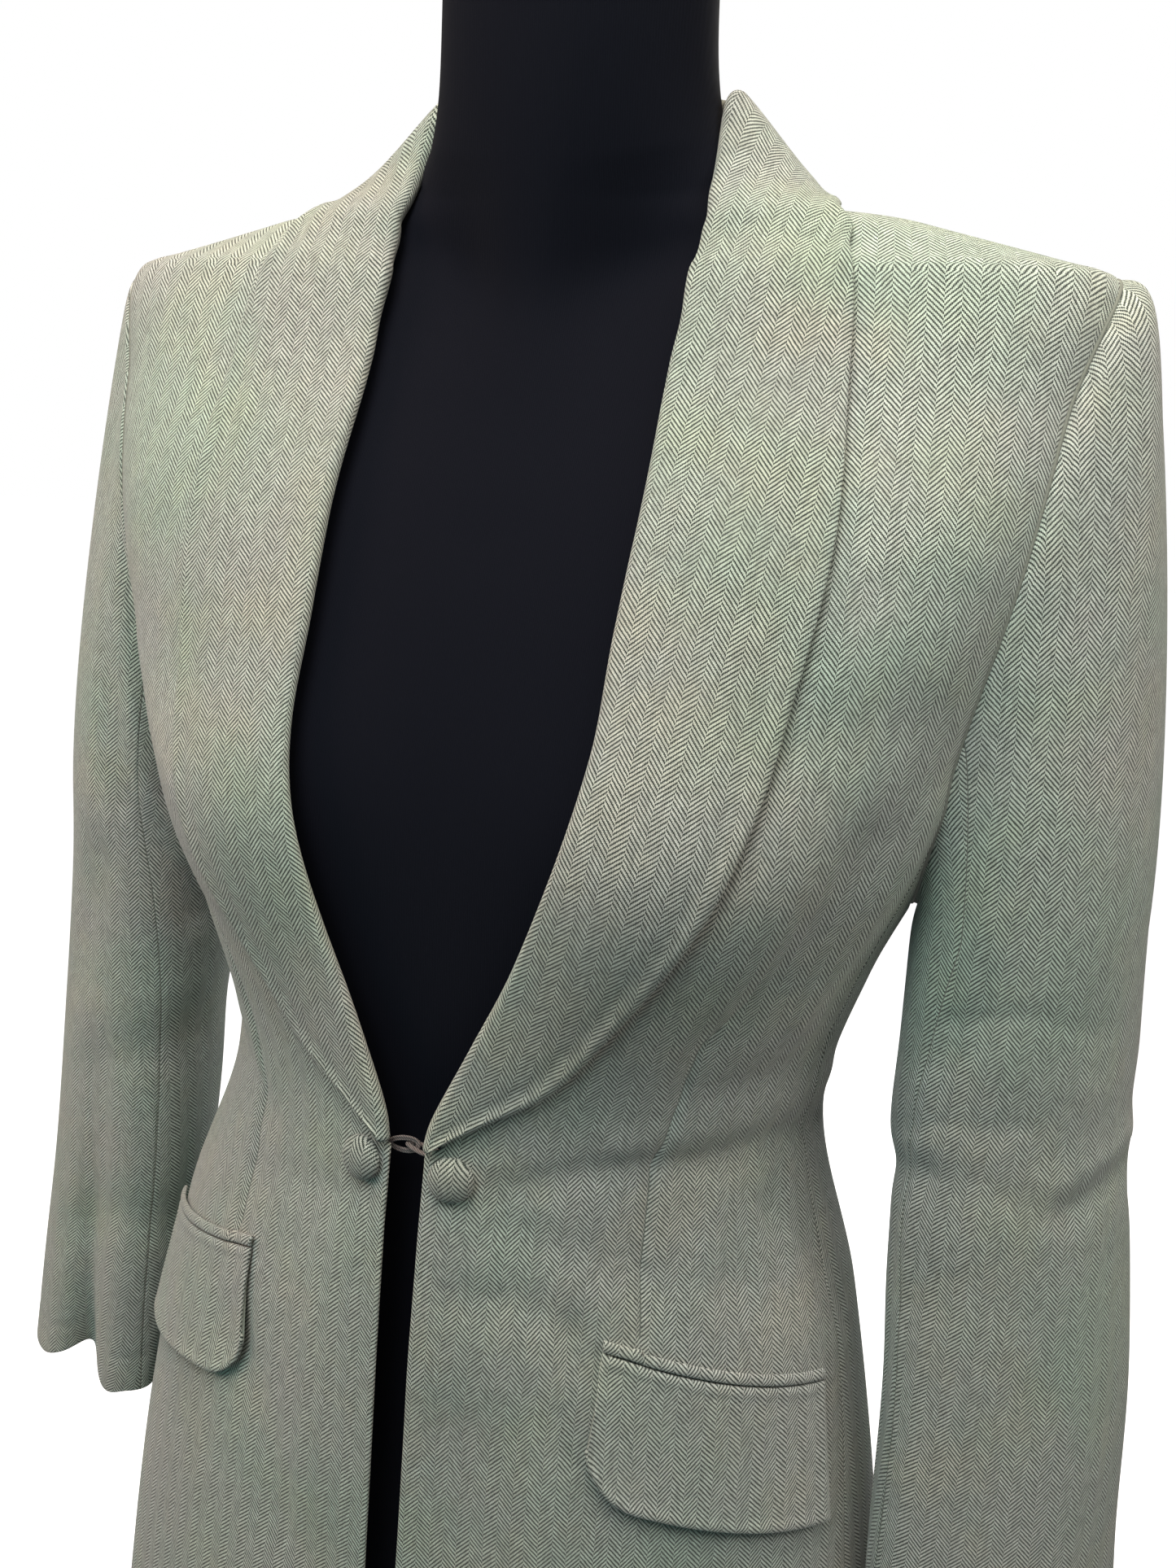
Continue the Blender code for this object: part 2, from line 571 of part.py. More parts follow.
def sleeve_piece(name, side, turns):
    """One of a sleeve's two pieces, between its seams."""
    exact = np.radians(turns)[None, :]
    gap = np.zeros_like(exact)
    gap[0, 0] = SEAM_GAP / 2 / 0.05
    gap[0, -1] = -gap[0, 0]
    cap = np.array((0.0, 0.04, 0.10, 0.20, 0.36, 0.56, 0.78))
    down = np.concatenate((cap, np.linspace(1.0, 6.0, 11)))[:, None]
    points = sleeve_skin(exact + gap, down, side)
    step = 0.002
    around = sleeve_skin(exact + step, down, side) - sleeve_skin(exact - step, down, side)
    along = sleeve_skin(exact, down + step, side) - sleeve_skin(exact, down - step, side)
    facing = unit(np.cross(along, around))
    mirror = np.array((side, 1.0, 1.0))
    wall(name, points * mirror, (points - facing * CLOTH) * mirror)


# Pockets, buttons and link

def pocket_flap(name, side):
    """A slanting flap with a rounded front corner, standing off a little at its lower edge."""
    along = np.array((0.0, 0.01, 0.04, 0.09, 0.14, 0.20, 0.34, 0.48, 0.62, 0.76, 0.90, 1.0))
    along = along[None, :]
    down = np.linspace(0.0, 1.0, 5)[:, None]
    angle = math.radians(FLAP_FRONT) + math.radians(FLAP_BACK - FLAP_FRONT) * along
    angle = angle - math.radians(1.8) * down
    corner = np.clip(1 - along / FLAP_CORNER, 0.0, 1.0)
    corner = FLAP_CORNER_RISE * (1 - np.sqrt(1 - corner ** 2))
    level = FLAP_LEVEL - FLAP_SLOPE * along - FLAP_DROP * down * (1 - corner)
    lift = (LAID_GAP + CLOTH + 0.0025 * down ** 1.5 + 0 * along)[..., None]
    panel(name, side * angle, level, lift)


def pocket_welt(name, side):
    """The narrow piece along the pocket's mouth, just above the flap."""
    along = np.linspace(0.0, 1.0, 9)[None, :]
    up = np.array((0.0, 1.0))[:, None]
    angle = math.radians(FLAP_FRONT) + math.radians(FLAP_BACK - FLAP_FRONT) * along + 0 * up
    level = FLAP_LEVEL - FLAP_SLOPE * along + SEAM_GAP + WELT_WIDTH * up
    panel(name, side * angle, level, LAID_GAP + CLOTH)


def turned(name, profile, steps, kind):
    """A round piece: its profile, given as radius and height, is screwed round the Z axis."""
    mesh = bpy.data.meshes.new(name)
    edges = [(i, i + 1) for i in range(len(profile) - 1)]
    mesh.from_pydata([(radius, 0.0, height) for radius, height in profile], edges, [])
    thing = bpy.data.objects.new(name, mesh)
    bpy.data.collections[COLLECTION].objects.link(thing)
    screw = thing.modifiers.new("turn", "SCREW")
    screw.steps = steps
    screw.render_steps = steps
    screw.use_merge_vertices = True
    screw.merge_threshold = 0.00002
    screw.use_smooth_shade = True
    dress(thing, kind)
    return thing


def covered_button(name, side):
    """A domed button covered in the coat's cloth, sewn on just under the collar's tip."""
    radius, height = BUTTON_RADIUS, BUTTON_HEIGHT
    profile = ((0.0, height), (0.40 * radius, 0.93 * height), (0.72 * radius, 0.74 * height),
               (0.93 * radius, 0.46 * height), (radius, 0.22 * height),
               (0.90 * radius, 0.03 * height), (0.55 * radius, 0.0), (0.0, 0.0))
    thing = turned(name, profile, 20, "cloth")
    angle = side * math.radians(BUTTON_ANGLE)
    facing = normals_of(skin, angle, BUTTON_LEVEL)
    foot = skin(angle, BUTTON_LEVEL) + facing * SEAM_GAP * 1.5
    stand_on(thing, foot, facing)


def stand_on(thing, foot, facing):
    """Place an object with its Z axis along a direction."""
    thing.location = foot
    thing.rotation_mode = "QUATERNION"
    thing.rotation_quaternion = bpy_vector(facing).to_track_quat("Z", "Y")


def bpy_vector(values):
    return Vector([float(v) for v in values])


def link_loop(name, side):
    """A loop of thread from behind one front's edge, caught through the other loop."""
    depth = float(skin(0.0, 0.0)[1]) + CLOTH + LOOP_THREAD + LOOP_HALF_WIDTH + 0.0006
    centre = side * (LOOP_HALF_LENGTH - 0.0022)
    curve = bpy.data.curves.new(name, "CURVE")
    curve.dimensions = "3D"
    curve.bevel_depth = LOOP_THREAD
    curve.bevel_resolution = 1
    curve.resolution_u = 1
    spline = curve.splines.new("POLY")
    count = 22
    spline.points.add(count - 1)
    for i, point in enumerate(spline.points):
        turn = 2 * math.pi * i / count
        across = LOOP_HALF_WIDTH * math.sin(turn)
        sideways = centre + LOOP_HALF_LENGTH * math.cos(turn)
        forward = across if side > 0 else 0.0
        upward = 0.0 if side > 0 else across
        point.co = (sideways, depth + forward, WAIST_Z + upward - 0.001, 1.0)
    spline.use_cyclic_u = True
    thing = bpy.data.objects.new(name, curve)
    bpy.data.collections[COLLECTION].objects.link(thing)
    material_for_curve(thing, "thread")


def material_for_curve(thing, kind):
    """A curve's own material, in the finish of its kind."""
    red, green, blue, roughness, metallic = FINISHES[kind]
    material = bpy.data.materials.new(thing.name + "_finish")
    material.use_nodes = True
    shader = material.node_tree.nodes["Principled BSDF"]
    shader.inputs["Base Color"].default_value = (red, green, blue, 1.0)
    shader.inputs["Roughness"].default_value = roughness
    shader.inputs["Metallic"].default_value = metallic
    thing.data.materials.append(material)


# The dress form and its stand

def form_inset(angle, level):
    """Room between the coat's skin and the form: none to spare along the shoulders."""
    near = CLOTH + FORM_CLEARANCE
    body = np.interp(level, (-0.235, -0.05, 0.10, 0.24, 0.35), (0.018, 0.008, 0.006, 0.005, 0.0035))
    ridge = bell(np.abs(angle), math.pi / 2, 0.20) * np.clip((level - 0.30) / 0.05, 0.0, 1.0)
    return near + body * (1 - ridge)


THROAT = Table(("level", "forward", "lift"), (
    ("chest", 0.240, 0.0, 0.0),
    ("upper", 0.295, 0.0060, -0.002),
    ("pit", 0.345, 0.0150, -0.004),
    ("throat", 0.415, 0.0207, 0.007),
    ("neck", 0.482, 0.0170, 0.012),
))


def form_body(angle, level):
    """The form's surface before it is set in from the coat."""
    bust = 0.010 * bell(np.abs(angle), math.radians(38), 0.40) * bell(level, 0.125, 0.060)
    throat = THROAT.read(level)
    front = bell(angle, 0.0, 0.52) * (level > THROAT.places[0])
    points = ring_point(angle, level, bust + throat["forward"] * front)
    points[..., 2] += throat["lift"] * front
    return points


def neck_ring(angle, height, radius, centre_y, tilt):
    """A level ring of the neck, its front lower than its back by the tilt."""
    x = radius * np.sin(angle)
    y = centre_y - radius * np.cos(angle)
    z = WAIST_Z + height - tilt * np.cos(angle)
    return np.stack((x, y, z + 0 * x), -1)


NECK_RINGS = (
    # height, radius, centre_y, tilt
    (0.392, 0.0580, 0.004, 0.020),
    (0.408, 0.0555, 0.000, 0.016),
    (0.430, 0.0542, -0.004, 0.010),
    (0.470, 0.0535, -0.007, 0.003),
    (0.524, 0.0535, -0.008, 0.000),
    (0.530, 0.0495, -0.008, 0.000),
)


def dress_form():
    """The limbless form: hips, waist, bust, shoulders and neck in one smooth body."""
    angle = np.linspace(0.0, 2 * math.pi, 33)[:-1]
    signed = np.where(angle > math.pi, angle - 2 * math.pi, angle)
    levels = np.concatenate((np.linspace(FORM_BOTTOM_LEVEL, 0.30, 13),
                             np.linspace(0.325, NECK_LEVEL, 7)))
    rings = []
    for level in levels:
        inset = form_inset(signed, level)[:, None]
        inwards = normals_of(form_body, signed, level + 0 * signed) * inset
        rings.append(form_body(signed, level + 0 * signed) - inwards)
    foot = rings[0] * (0.93, 0.93, 0.0) + (0.0, 0.0, WAIST_Z + FORM_BOTTOM_LEVEL - 0.008)
    rings = [foot] + rings
    rings += [neck_ring(angle, *row) for row in NECK_RINGS]
    stacked_rings("dress_form", rings, "form_cover")


def stacked_rings(name, rings, kind):
    """A closed body lofted through rings, with a point in the middle of each end."""
    columns = len(rings[0])
    vertices = np.concatenate(rings)
    faces = grid_faces(len(rings), columns, 0, wrap=True)
    low = len(vertices)
    ends = np.stack((rings[0].mean(0), rings[-1].mean(0)))
    top = low - columns
    for j in range(columns):
        k = (j + 1) % columns
        faces.append((low, k, j))
        faces.append((low + 1, top + j, top + k))
    add_object(name, np.concatenate((vertices, ends)), faces, kind)


def stand():
    """A round base, a turned foot on it and the pole up to the form."""
    turned("stand_base", ((0.0, BASE_THICKNESS), (BASE_RADIUS - 0.004, BASE_THICKNESS),
                          (BASE_RADIUS - 0.001, BASE_THICKNESS - 0.001),
                          (BASE_RADIUS, BASE_THICKNESS - 0.004), (BASE_RADIUS, 0.0),
                          (0.0, 0.0)), 48, "black_metal")
    low = BASE_THICKNESS + SEAM_GAP
    high = low + 0.030
    turned("stand_foot", ((0.0, high), (0.016, high), (0.018, high - 0.004),
                          (0.022, low + 0.010), (0.036, low + 0.004), (0.036, low), (0.0, low)),
           28, "black_metal")
    bottom = high + SEAM_GAP
    top = WAIST_Z + FORM_BOTTOM_LEVEL - 0.008 - SEAM_GAP
    turned("stand_pole", ((0.0, top), (POLE_RADIUS, top), (POLE_RADIUS, bottom), (0.0, bottom)),
           24, "black_metal")


def clear_scene():
    for thing in list(bpy.data.objects):
        bpy.data.objects.remove(thing, do_unlink=True)


def build():
    clear_scene()
    collection = bpy.data.collections.new(COLLECTION)
    bpy.context.scene.collection.children.link(collection)
    for word, side in SIDES:
        front_panel("front_" + word, side)
        side_panel("side_" + word, side)
        back_panel("back_" + word, side)
        collar("collar_" + word, side)
        sleeve_piece("sleeve_top_" + word, side, TOP_SLEEVE_TURNS)
        sleeve_piece("sleeve_under_" + word, side, UNDER_SLEEVE_TURNS)
        pocket_flap("pocket_flap_" + word, side)
        pocket_welt("pocket_welt_" + word, side)
        covered_button("covered_button_" + word, side)
        link_loop("link_loop_" + word, side)
    dress_form()
    stand()


build()
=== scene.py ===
# %% [markdown]
# # A herringbone day coat on a dress form
#
# The coat is a fitted day coat with a shawl collar, padded shoulders, two-piece sleeves,
# slanting pocket flaps and a link of thread at the waist. It is shown on a limbless form with a
# pole and a round base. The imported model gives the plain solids; this script puts finely shaped
# cloth on them. Everything is in metres, +Z up, and the coat faces -Y.

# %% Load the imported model
import json
import math

import bpy
import numpy as np
from mathutils import Matrix

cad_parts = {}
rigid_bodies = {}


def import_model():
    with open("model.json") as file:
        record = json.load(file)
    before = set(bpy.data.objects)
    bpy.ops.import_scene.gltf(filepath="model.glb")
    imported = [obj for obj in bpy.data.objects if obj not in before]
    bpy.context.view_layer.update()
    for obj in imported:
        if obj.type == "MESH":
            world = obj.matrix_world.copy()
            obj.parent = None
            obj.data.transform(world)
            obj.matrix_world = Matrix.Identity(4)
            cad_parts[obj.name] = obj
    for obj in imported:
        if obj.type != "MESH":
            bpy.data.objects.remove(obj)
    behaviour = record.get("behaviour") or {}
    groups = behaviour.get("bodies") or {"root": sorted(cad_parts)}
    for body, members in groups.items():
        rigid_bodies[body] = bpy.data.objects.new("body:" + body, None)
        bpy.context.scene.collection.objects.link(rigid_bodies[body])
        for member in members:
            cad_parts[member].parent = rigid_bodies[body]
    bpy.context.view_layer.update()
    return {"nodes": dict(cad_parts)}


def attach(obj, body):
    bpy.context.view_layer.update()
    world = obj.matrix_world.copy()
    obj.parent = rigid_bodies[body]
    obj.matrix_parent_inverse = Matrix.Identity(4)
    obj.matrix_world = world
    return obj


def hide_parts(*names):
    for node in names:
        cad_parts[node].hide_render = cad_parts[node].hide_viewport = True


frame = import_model()
print("solids in the frame:", len(frame["nodes"]))

# %% [markdown]
# ## The camera
#
# The photograph was taken from close by, at chest height, a little to the wearer's left and
# looking down. A long lens from far away would flatten the shoulders, so the camera stands as
# near as it really did. Its place and lens were fitted to the outline of the coat.

# %% Set up the camera
WAIST_Z = 1.040
AZIMUTH, ELEVATION, ROLL = (math.radians(v) for v in (18.24, 13.60, 3.98))
DISTANCE = 0.486
LOOK_AT = (0.040, -0.050, WAIST_Z + 0.138)
FOCAL_PIXELS, FRAME_PIXELS, FILM = 1469.0, 1927.0, 36.0
CLIP_START = 0.02


def camera_axes():
    """Right, up and back of the camera, as the rows of an array."""
    back = np.array((math.sin(AZIMUTH) * math.cos(ELEVATION),
                     -math.cos(AZIMUTH) * math.cos(ELEVATION), math.sin(ELEVATION)))
    right = np.cross((0, 0, 1), back)
    right = right / np.linalg.norm(right)
    up = np.cross(back, right)
    c, s = math.cos(ROLL), math.sin(ROLL)
    return np.array((c * right + s * up, c * up - s * right, back))


def add_thing(name, data, axes=None, place=None):
    """Object in the scene, perhaps with its axes, given as rows, and its place."""
    thing = bpy.data.objects.new(name, data)
    bpy.context.scene.collection.objects.link(thing)
    if axes is not None:
        matrix = np.eye(4)
        matrix[:3, :3] = np.transpose(axes)
        matrix[:3, 3] = place
        thing.matrix_world = Matrix(matrix.tolist())
    return thing


def add_camera():
    axes = camera_axes()
    data = bpy.data.cameras.new("camera")
    data.sensor_fit = "VERTICAL"
    data.sensor_height = FILM
    data.lens = FOCAL_PIXELS / FRAME_PIXELS * FILM
    data.clip_start = CLIP_START
    thing = add_thing("camera", data, axes, np.array(LOOK_AT) + axes[2] * DISTANCE)
    bpy.context.scene.camera = thing
    return thing


camera = add_camera()
print("camera at", [round(v, 3) for v in camera.matrix_world.translation])

# %% [markdown]
# ## Tables that are read smoothly
#
# A coat's shape is easy to say as a few rings, from the hem up to the neck. Each row of a table
# names a level and the sizes of the ring there, and a cubic curve is drawn from row to row.

# %% The table helper
SIDES = (("left", 1), ("right", -1))


def hermite(start, leaving, end, arriving, u, span=1.0):
    """Cubic from start to end with these slopes there, at shares u of the way."""
    first = (2 * u ** 3 - 3 * u ** 2 + 1) * start + (u ** 3 - 2 * u ** 2 + u) * span * leaving
    last = (3 * u ** 2 - 2 * u ** 3) * end + (u ** 3 - u ** 2) * span * arriving
    return first + last


class Table:
    """Rows of a label and named values, read along a smooth cubic from row to row."""

    def __init__(self, columns, rows):
        self.values = np.array([row[1:] for row in rows], float)
        self.columns = columns
        self.places = self.values[:, 0]
        self.slopes = np.gradient(self.values, self.places, axis=0)

    def read(self, place):
        place = np.clip(np.asarray(place, float), self.places[0], self.places[-1])
        k = np.clip(np.searchsorted(self.places, place) - 1, 0, len(self.places) - 2)
        span = (self.places[k + 1] - self.places[k])[..., None]
        row = hermite(self.values[k], self.slopes[k], self.values[k + 1], self.slopes[k + 1],
                      (place - self.places[k])[..., None] / span, span)
        return {name: row[..., i] for i, name in enumerate(self.columns)}


def bell(value, centre, width):
    return np.exp(-((value - centre) / width) ** 2)


def unit(vectors):
    return vectors / np.linalg.norm(vectors, axis=-1, keepdims=True)


# %% [markdown]
# ## The body of the coat
#
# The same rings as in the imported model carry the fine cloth, so that it lies where the solids
# are. Angle 0 is the centre front and grows towards the wearer's left; the level runs up the
# side of the body and then along the shoulder.

# %% Rings of the body
HEM_LEVEL = -0.590
NECK_LEVEL = 0.482
BODY = Table(
    ("level", "z_side", "z_front", "z_back", "half_width", "front", "back", "centre_y", "square"),
    (
        ("hem", -0.590, -0.590, -0.590, -0.590, 0.232, 0.180, 0.205, 0.000, 2.0),
        ("thigh", -0.400, -0.400, -0.400, -0.400, 0.212, 0.156, 0.176, 0.000, 2.0),
        ("hip", -0.200, -0.200, -0.200, -0.200, 0.189, 0.131, 0.146, 0.000, 2.1),
        ("high_hip", -0.100, -0.100, -0.100, -0.100, 0.169, 0.120, 0.119, 0.000, 2.1),
        ("waist", 0.000, 0.000, 0.000, 0.000, 0.1435, 0.119, 0.088, 0.006, 1.95),
        ("ribs", 0.060, 0.060, 0.060, 0.062, 0.157, 0.120, 0.093, 0.005, 2.05),
        ("bust", 0.125, 0.120, 0.130, 0.132, 0.179, 0.118, 0.107, 0.004, 2.3),
        ("chest", 0.180, 0.172, 0.182, 0.188, 0.191, 0.113, 0.112, 0.010, 2.7),
        ("across", 0.240, 0.234, 0.240, 0.250, 0.204, 0.095, 0.112, 0.012, 3.2),
        ("upper", 0.295, 0.290, 0.292, 0.305, 0.211, 0.069, 0.104, 0.012, 3.3),
        ("shoulder", 0.345, 0.342, 0.322, 0.342, 0.211, 0.050, 0.086, 0.012, 2.8),
        ("shoulder_end", 0.358, 0.3455, 0.324, 0.347, 0.199, 0.048, 0.083, 0.012, 2.6),
        ("mid_shoulder", 0.415, 0.360, 0.325, 0.365, 0.143, 0.044, 0.070, 0.012, 2.3),
        ("neck", 0.484, 0.377, 0.345, 0.392, 0.075, 0.050, 0.058, 0.012, 2.1),
        ("stand", 0.520, 0.408, 0.380, 0.428, 0.0615, 0.050, 0.055, 0.013, 2.0),
    ))


def fullness(angle, level):
    """Room for the bust, and the fronts' edges standing proud where they are linked."""
    bust = 0.015 * bell(np.abs(angle), math.radians(40), 0.38) * bell(level, 0.112, 0.060)
    edges = 0.011 * bell(angle, 0.0, 0.42) * bell(level, -0.060, 0.130)
    return bust + edges


def skirt_folds(angle, level):
    """Soft flutes that grow towards the hem, deeper at the back."""
    growth = np.clip((-0.16 - level) / 0.43, 0.0, 1.0) ** 1.4
    back = 0.35 + 0.65 * np.sin(angle / 2) ** 2
    waves = 0.60 * np.cos(7 * angle + 0.5) + 0.40 * np.cos(11 * angle - 0.9)
    return 0.011 * growth * back * waves


def ring_point(angle, level, extra):
    ring = BODY.read(level)
    forward, sideways = np.cos(angle), np.sin(angle)
    depth = np.where(forward > 0, ring["front"], ring["back"])
    power = ring["square"]
    reach = (np.abs(forward / depth) ** power
             + np.abs(sideways / ring["half_width"]) ** power) ** (-1 / power) + extra
    z_end = np.where(forward > 0, ring["z_front"], ring["z_back"])
    height = ring["z_side"] + (z_end - ring["z_side"]) * forward ** 2
    return np.stack((reach * sideways, ring["centre_y"] - reach * forward, WAIST_Z + height), -1)


def smooth_skin(angle, level):
    return ring_point(angle, level, fullness(angle, level))


print("height of the coat:", round(float(BODY.read(NECK_LEVEL)["z_side"]) - HEM_LEVEL, 3))

# %% [markdown]
# ## Creases placed one by one
#
# Pressed wool keeps its form, so a simulation would wrinkle it far too much. The photograph
# shows a few long, soft creases. Each is a row here: the points that it runs through (angle in
# degrees, level in metres), how far it sinks (minus) or rises (plus), and half its width.

# %% Creases on the body
DART = ((55.1, 0.097), (53.7, 0.071), (48.5, 0.052), (47.7, 0.0285), (44.5, -0.005),
        (43.8, -0.038), (43.8, -0.071))
CREASES = (
    # path, depth, half width
    (((16, -0.012), (37, -0.0025), (57, -0.004), (72, -0.003), (86, -0.010)), -0.0022, 0.0065),
    (((38, 0.006), (48, 0.009), (66, 0.0135), (90, 0.009)), 0.0013, 0.0080),
    (((47, 0.034), (60, 0.030), (78, 0.040)), -0.0014, 0.0085),
    (((50, 0.052), (57, 0.082), (60, 0.104), (64, 0.140)), -0.0024, 0.0110),
    (((66, 0.060), (70, 0.095), (73, 0.150)), 0.0018, 0.0100),
    (((56, 0.2225), (62, 0.233), (70, 0.2315)), -0.0008, 0.0050),
    (((52, 0.176), (61, 0.1835), (68, 0.190)), -0.0007, 0.0050),
    (((54, 0.200), (62, 0.207), (69, 0.209)), 0.0005, 0.0060),
    (((12, -0.056), (24, -0.060), (31, -0.0685), (36, -0.084)), -0.0018, 0.0090),
    (((18, -0.025), (38, -0.043), (52, -0.0565), (62, -0.060)), -0.0015, 0.0090),
    (((32, -0.068), (33, -0.095), (33, -0.122)), -0.0018, 0.0060),
    (((71, -0.018), (69.5, -0.045), (69, -0.070)), -0.0016, 0.0060),
    (((57, -0.024), (54, -0.062)), 0.0016, 0.0090),
    (((83, -0.088), (78, -0.055), (68, -0.030)), -0.0016, 0.0070),
    (((8, -0.030), (18, -0.070), (26, -0.130)), 0.0014, 0.016),
    (((12, -0.120), (16, -0.260), (20, -0.420)), -0.0022, 0.020),
    (((30, -0.150), (33, -0.300), (36, -0.450)), 0.0016, 0.022),
    (((-60, 0.240), (-58, 0.209), (-53, 0.173)), -0.0020, 0.0110),
    (((-66, 0.180), (-60, 0.150), (-50, 0.128)), 0.0014, 0.0110),
    (((-41, -0.043), (-21, -0.0325), (-8, -0.0235)), -0.0016, 0.0080),
    (((-38, -0.020), (-52, -0.006), (-66, 0.004)), -0.0018, 0.0080),
    (((-52, 0.064), (-64, 0.100), (-72, 0.145)), -0.0020, 0.0140),
    (((-41, -0.115), (-27, -0.148), (-23, -0.196)), -0.0018, 0.0120),
    (((-8, -0.030), (-16, -0.080), (-18, -0.150)), 0.0014, 0.018),
    (((-14, -0.200), (-18, -0.300), (-20, -0.420)), -0.0018, 0.020),
    (((120, 0.010), (140, 0.002), (160, 0.006)), -0.0022, 0.0100),
    (((-118, 0.012), (-138, 0.000), (-160, 0.006)), -0.0020, 0.0110),
    (((125, 0.060), (142, 0.046), (165, 0.050)), -0.0018, 0.0120),
    (((-125, 0.056), (-144, 0.044), (-165, 0.050)), -0.0018, 0.0130),
    (((118, 0.170), (128, 0.130), (140, 0.110)), -0.0022, 0.0130),
    (((-118, 0.176), (-128, 0.134), (-140, 0.108)), -0.0022, 0.0130),
    (((112, -0.030), (130, -0.045), (150, -0.080)), 0.0016, 0.0140),
    (((-114, -0.034), (-128, -0.050), (-152, -0.074)), 0.0016, 0.0140),
)
FLAT_RADIUS = 0.16
DART_RADIUS = 0.135
FAR_AWAY = 9.0


def distance_to_path(x, y, path):
    """Distance from points to a line through a few corners."""
    best = np.full(np.shape(x), FAR_AWAY)
    for (x0, y0), (x1, y1) in zip(path, path[1:]):
        dx, dy = x1 - x0, y1 - y0
        t = np.clip(((x - x0) * dx + (y - y0) * dy) / (dx * dx + dy * dy), 0.0, 1.0)
        best = np.minimum(best, np.hypot(x - x0 - t * dx, y - y0 - t * dy))
    return best


def crease_height(rows, turn, place, radius, length):
    """Height of some creases at a turn and a place, which are laid flat by these two sizes."""
    total = np.zeros(np.shape(turn))
    for path, depth, width in rows:
        flat = [(math.radians(a) * radius, b * length) for a, b in path]
        near = distance_to_path(turn * radius, place * length, flat)
        total = total + depth * bell(near, 0.0, width)
    return total


def dart_angle(level):
    """Angle of the waist dart in each front, carried on straight above and below it."""
    levels = [z for _, z in DART[::-1]]
    return np.radians(np.interp(level, levels, [a for a, _ in DART[::-1]]))


def dart_valley(angle, level):
    """The dart's stitched line: crisp below, fading out towards the bust."""
    away = (np.abs(angle) - dart_angle(level)) * DART_RADIUS
    depth = np.interp(level, (-0.082, -0.074, 0.020, 0.060, 0.100), (0, 1, 1, 0.45, 0))
    return depth * (0.0005 * bell(away, 0.0034, 0.0028) - 0.0014 * bell(away, 0.0, 0.0013)
                    - 0.0009 * bell(away, -0.004, 0.006))


def skin(angle, level):
    """Point on the coat's outer face, with its folds and creases."""
    angle, level = np.broadcast_arrays(np.asarray(angle, float), np.asarray(level, float))
    extra = fullness(angle, level) + skirt_folds(angle, level)
    extra = extra + crease_height(CREASES, angle, level, FLAT_RADIUS, 1.0)
    return ring_point(angle, level, extra + dart_valley(angle, level))


def normals_of(surface, angle, level):
    step = 0.0005
    across = surface(angle + step, level) - surface(angle - step, level)
    along = surface(angle, level + step) - surface(angle, level - step)
    return unit(np.cross(across, along))


print("creases on the body:", len(CREASES))

# %% [markdown]
# ## Where the weave runs
#
# Herringbone only looks woven if its columns stay the same width all over the coat and run with
# the grain. So each piece carries a UV map in metres of cloth: the distance across from the
# piece's own straight grain, and the distance up along it.

# %% Measure the cloth round and up the body
MAP_ANGLES = np.linspace(-math.pi, math.pi, 721)
MAP_LEVELS = np.linspace(HEM_LEVEL, BODY.places[-1], 260)


def measure_body():
    """Cloth lengths round the body from the centre front, and up it from the hem."""
    grid = smooth_skin(*np.meshgrid(MAP_ANGLES, MAP_LEVELS))
    around = np.linalg.norm(np.diff(grid, axis=1), axis=-1)
    around = np.concatenate((np.zeros((len(grid), 1)), np.cumsum(around, 1)), 1)
    around = around - around[:, len(MAP_ANGLES) // 2][:, None]
    up = np.linalg.norm(np.diff(grid, axis=0), axis=-1)
    up = np.concatenate((np.zeros((1, grid.shape[1])), np.cumsum(up, 0)), 0)
    return around, up


AROUND, UP = measure_body()


def look_up(grid, angle, level):
    """Value of a body map at any angle and level."""
    x = (angle - MAP_ANGLES[0]) / (MAP_ANGLES[1] - MAP_ANGLES[0])
    y = (level - MAP_LEVELS[0]) / (MAP_LEVELS[1] - MAP_LEVELS[0])
    i = np.clip(x.astype(int), 0, grid.shape[1] - 2)
    j = np.clip(y.astype(int), 0, grid.shape[0] - 2)
    s, t = x - i, y - j
    low = grid[j, i] * (1 - s) + grid[j, i + 1] * s
    high = grid[j + 1, i] * (1 - s) + grid[j + 1, i + 1] * s
    return low * (1 - t) + high * t


def body_weave(angle, level, grain):
    """Cloth coordinates of a panel whose straight grain is at this angle."""
    across = look_up(AROUND, angle, level) - look_up(AROUND, grain + 0 * angle, level)
    return np.stack((across, look_up(UP, angle, level)), -1)


print("round the hem:", round(float(AROUND[0, -1] - AROUND[0, 0]), 3), "m of cloth")

# %% [markdown]
# ## Building one piece of cloth
#
# A piece is a grid of points for its outer face. Its back is the same grid set in by the
# cloth's thickness, and the two are joined round the rim. Where a point is close to the rim,
# both faces draw together, so a free edge looks turned and a seam looks like a small ditch.

# %% The cloth wall
CLOTH = 0.0020
SEAM_GAP = 0.0003
RIM_STEPS = (0.0, 0.0002, 0.0005, 0.0010)
RIM_DROP = 0.30
SHARP_TURN = 0.30


def edged(size, count, first=True, last=True):
    """Shares from 0 to 1, with extra ones near the ends for the rounded rim."""
    start = np.array(RIM_STEPS if first else (0.0,)) / size
    end = 1 - np.array(RIM_STEPS if last else (0.0,))[::-1] / size
    middle = np.linspace(start[-1], end[0], count + 2)[1:-1]
    return np.concatenate((start, middle, end))


def grid_normals(points):
    along = np.gradient(points, axis=0)
    across = np.gradient(points, axis=1)
    return unit(np.cross(across, along))


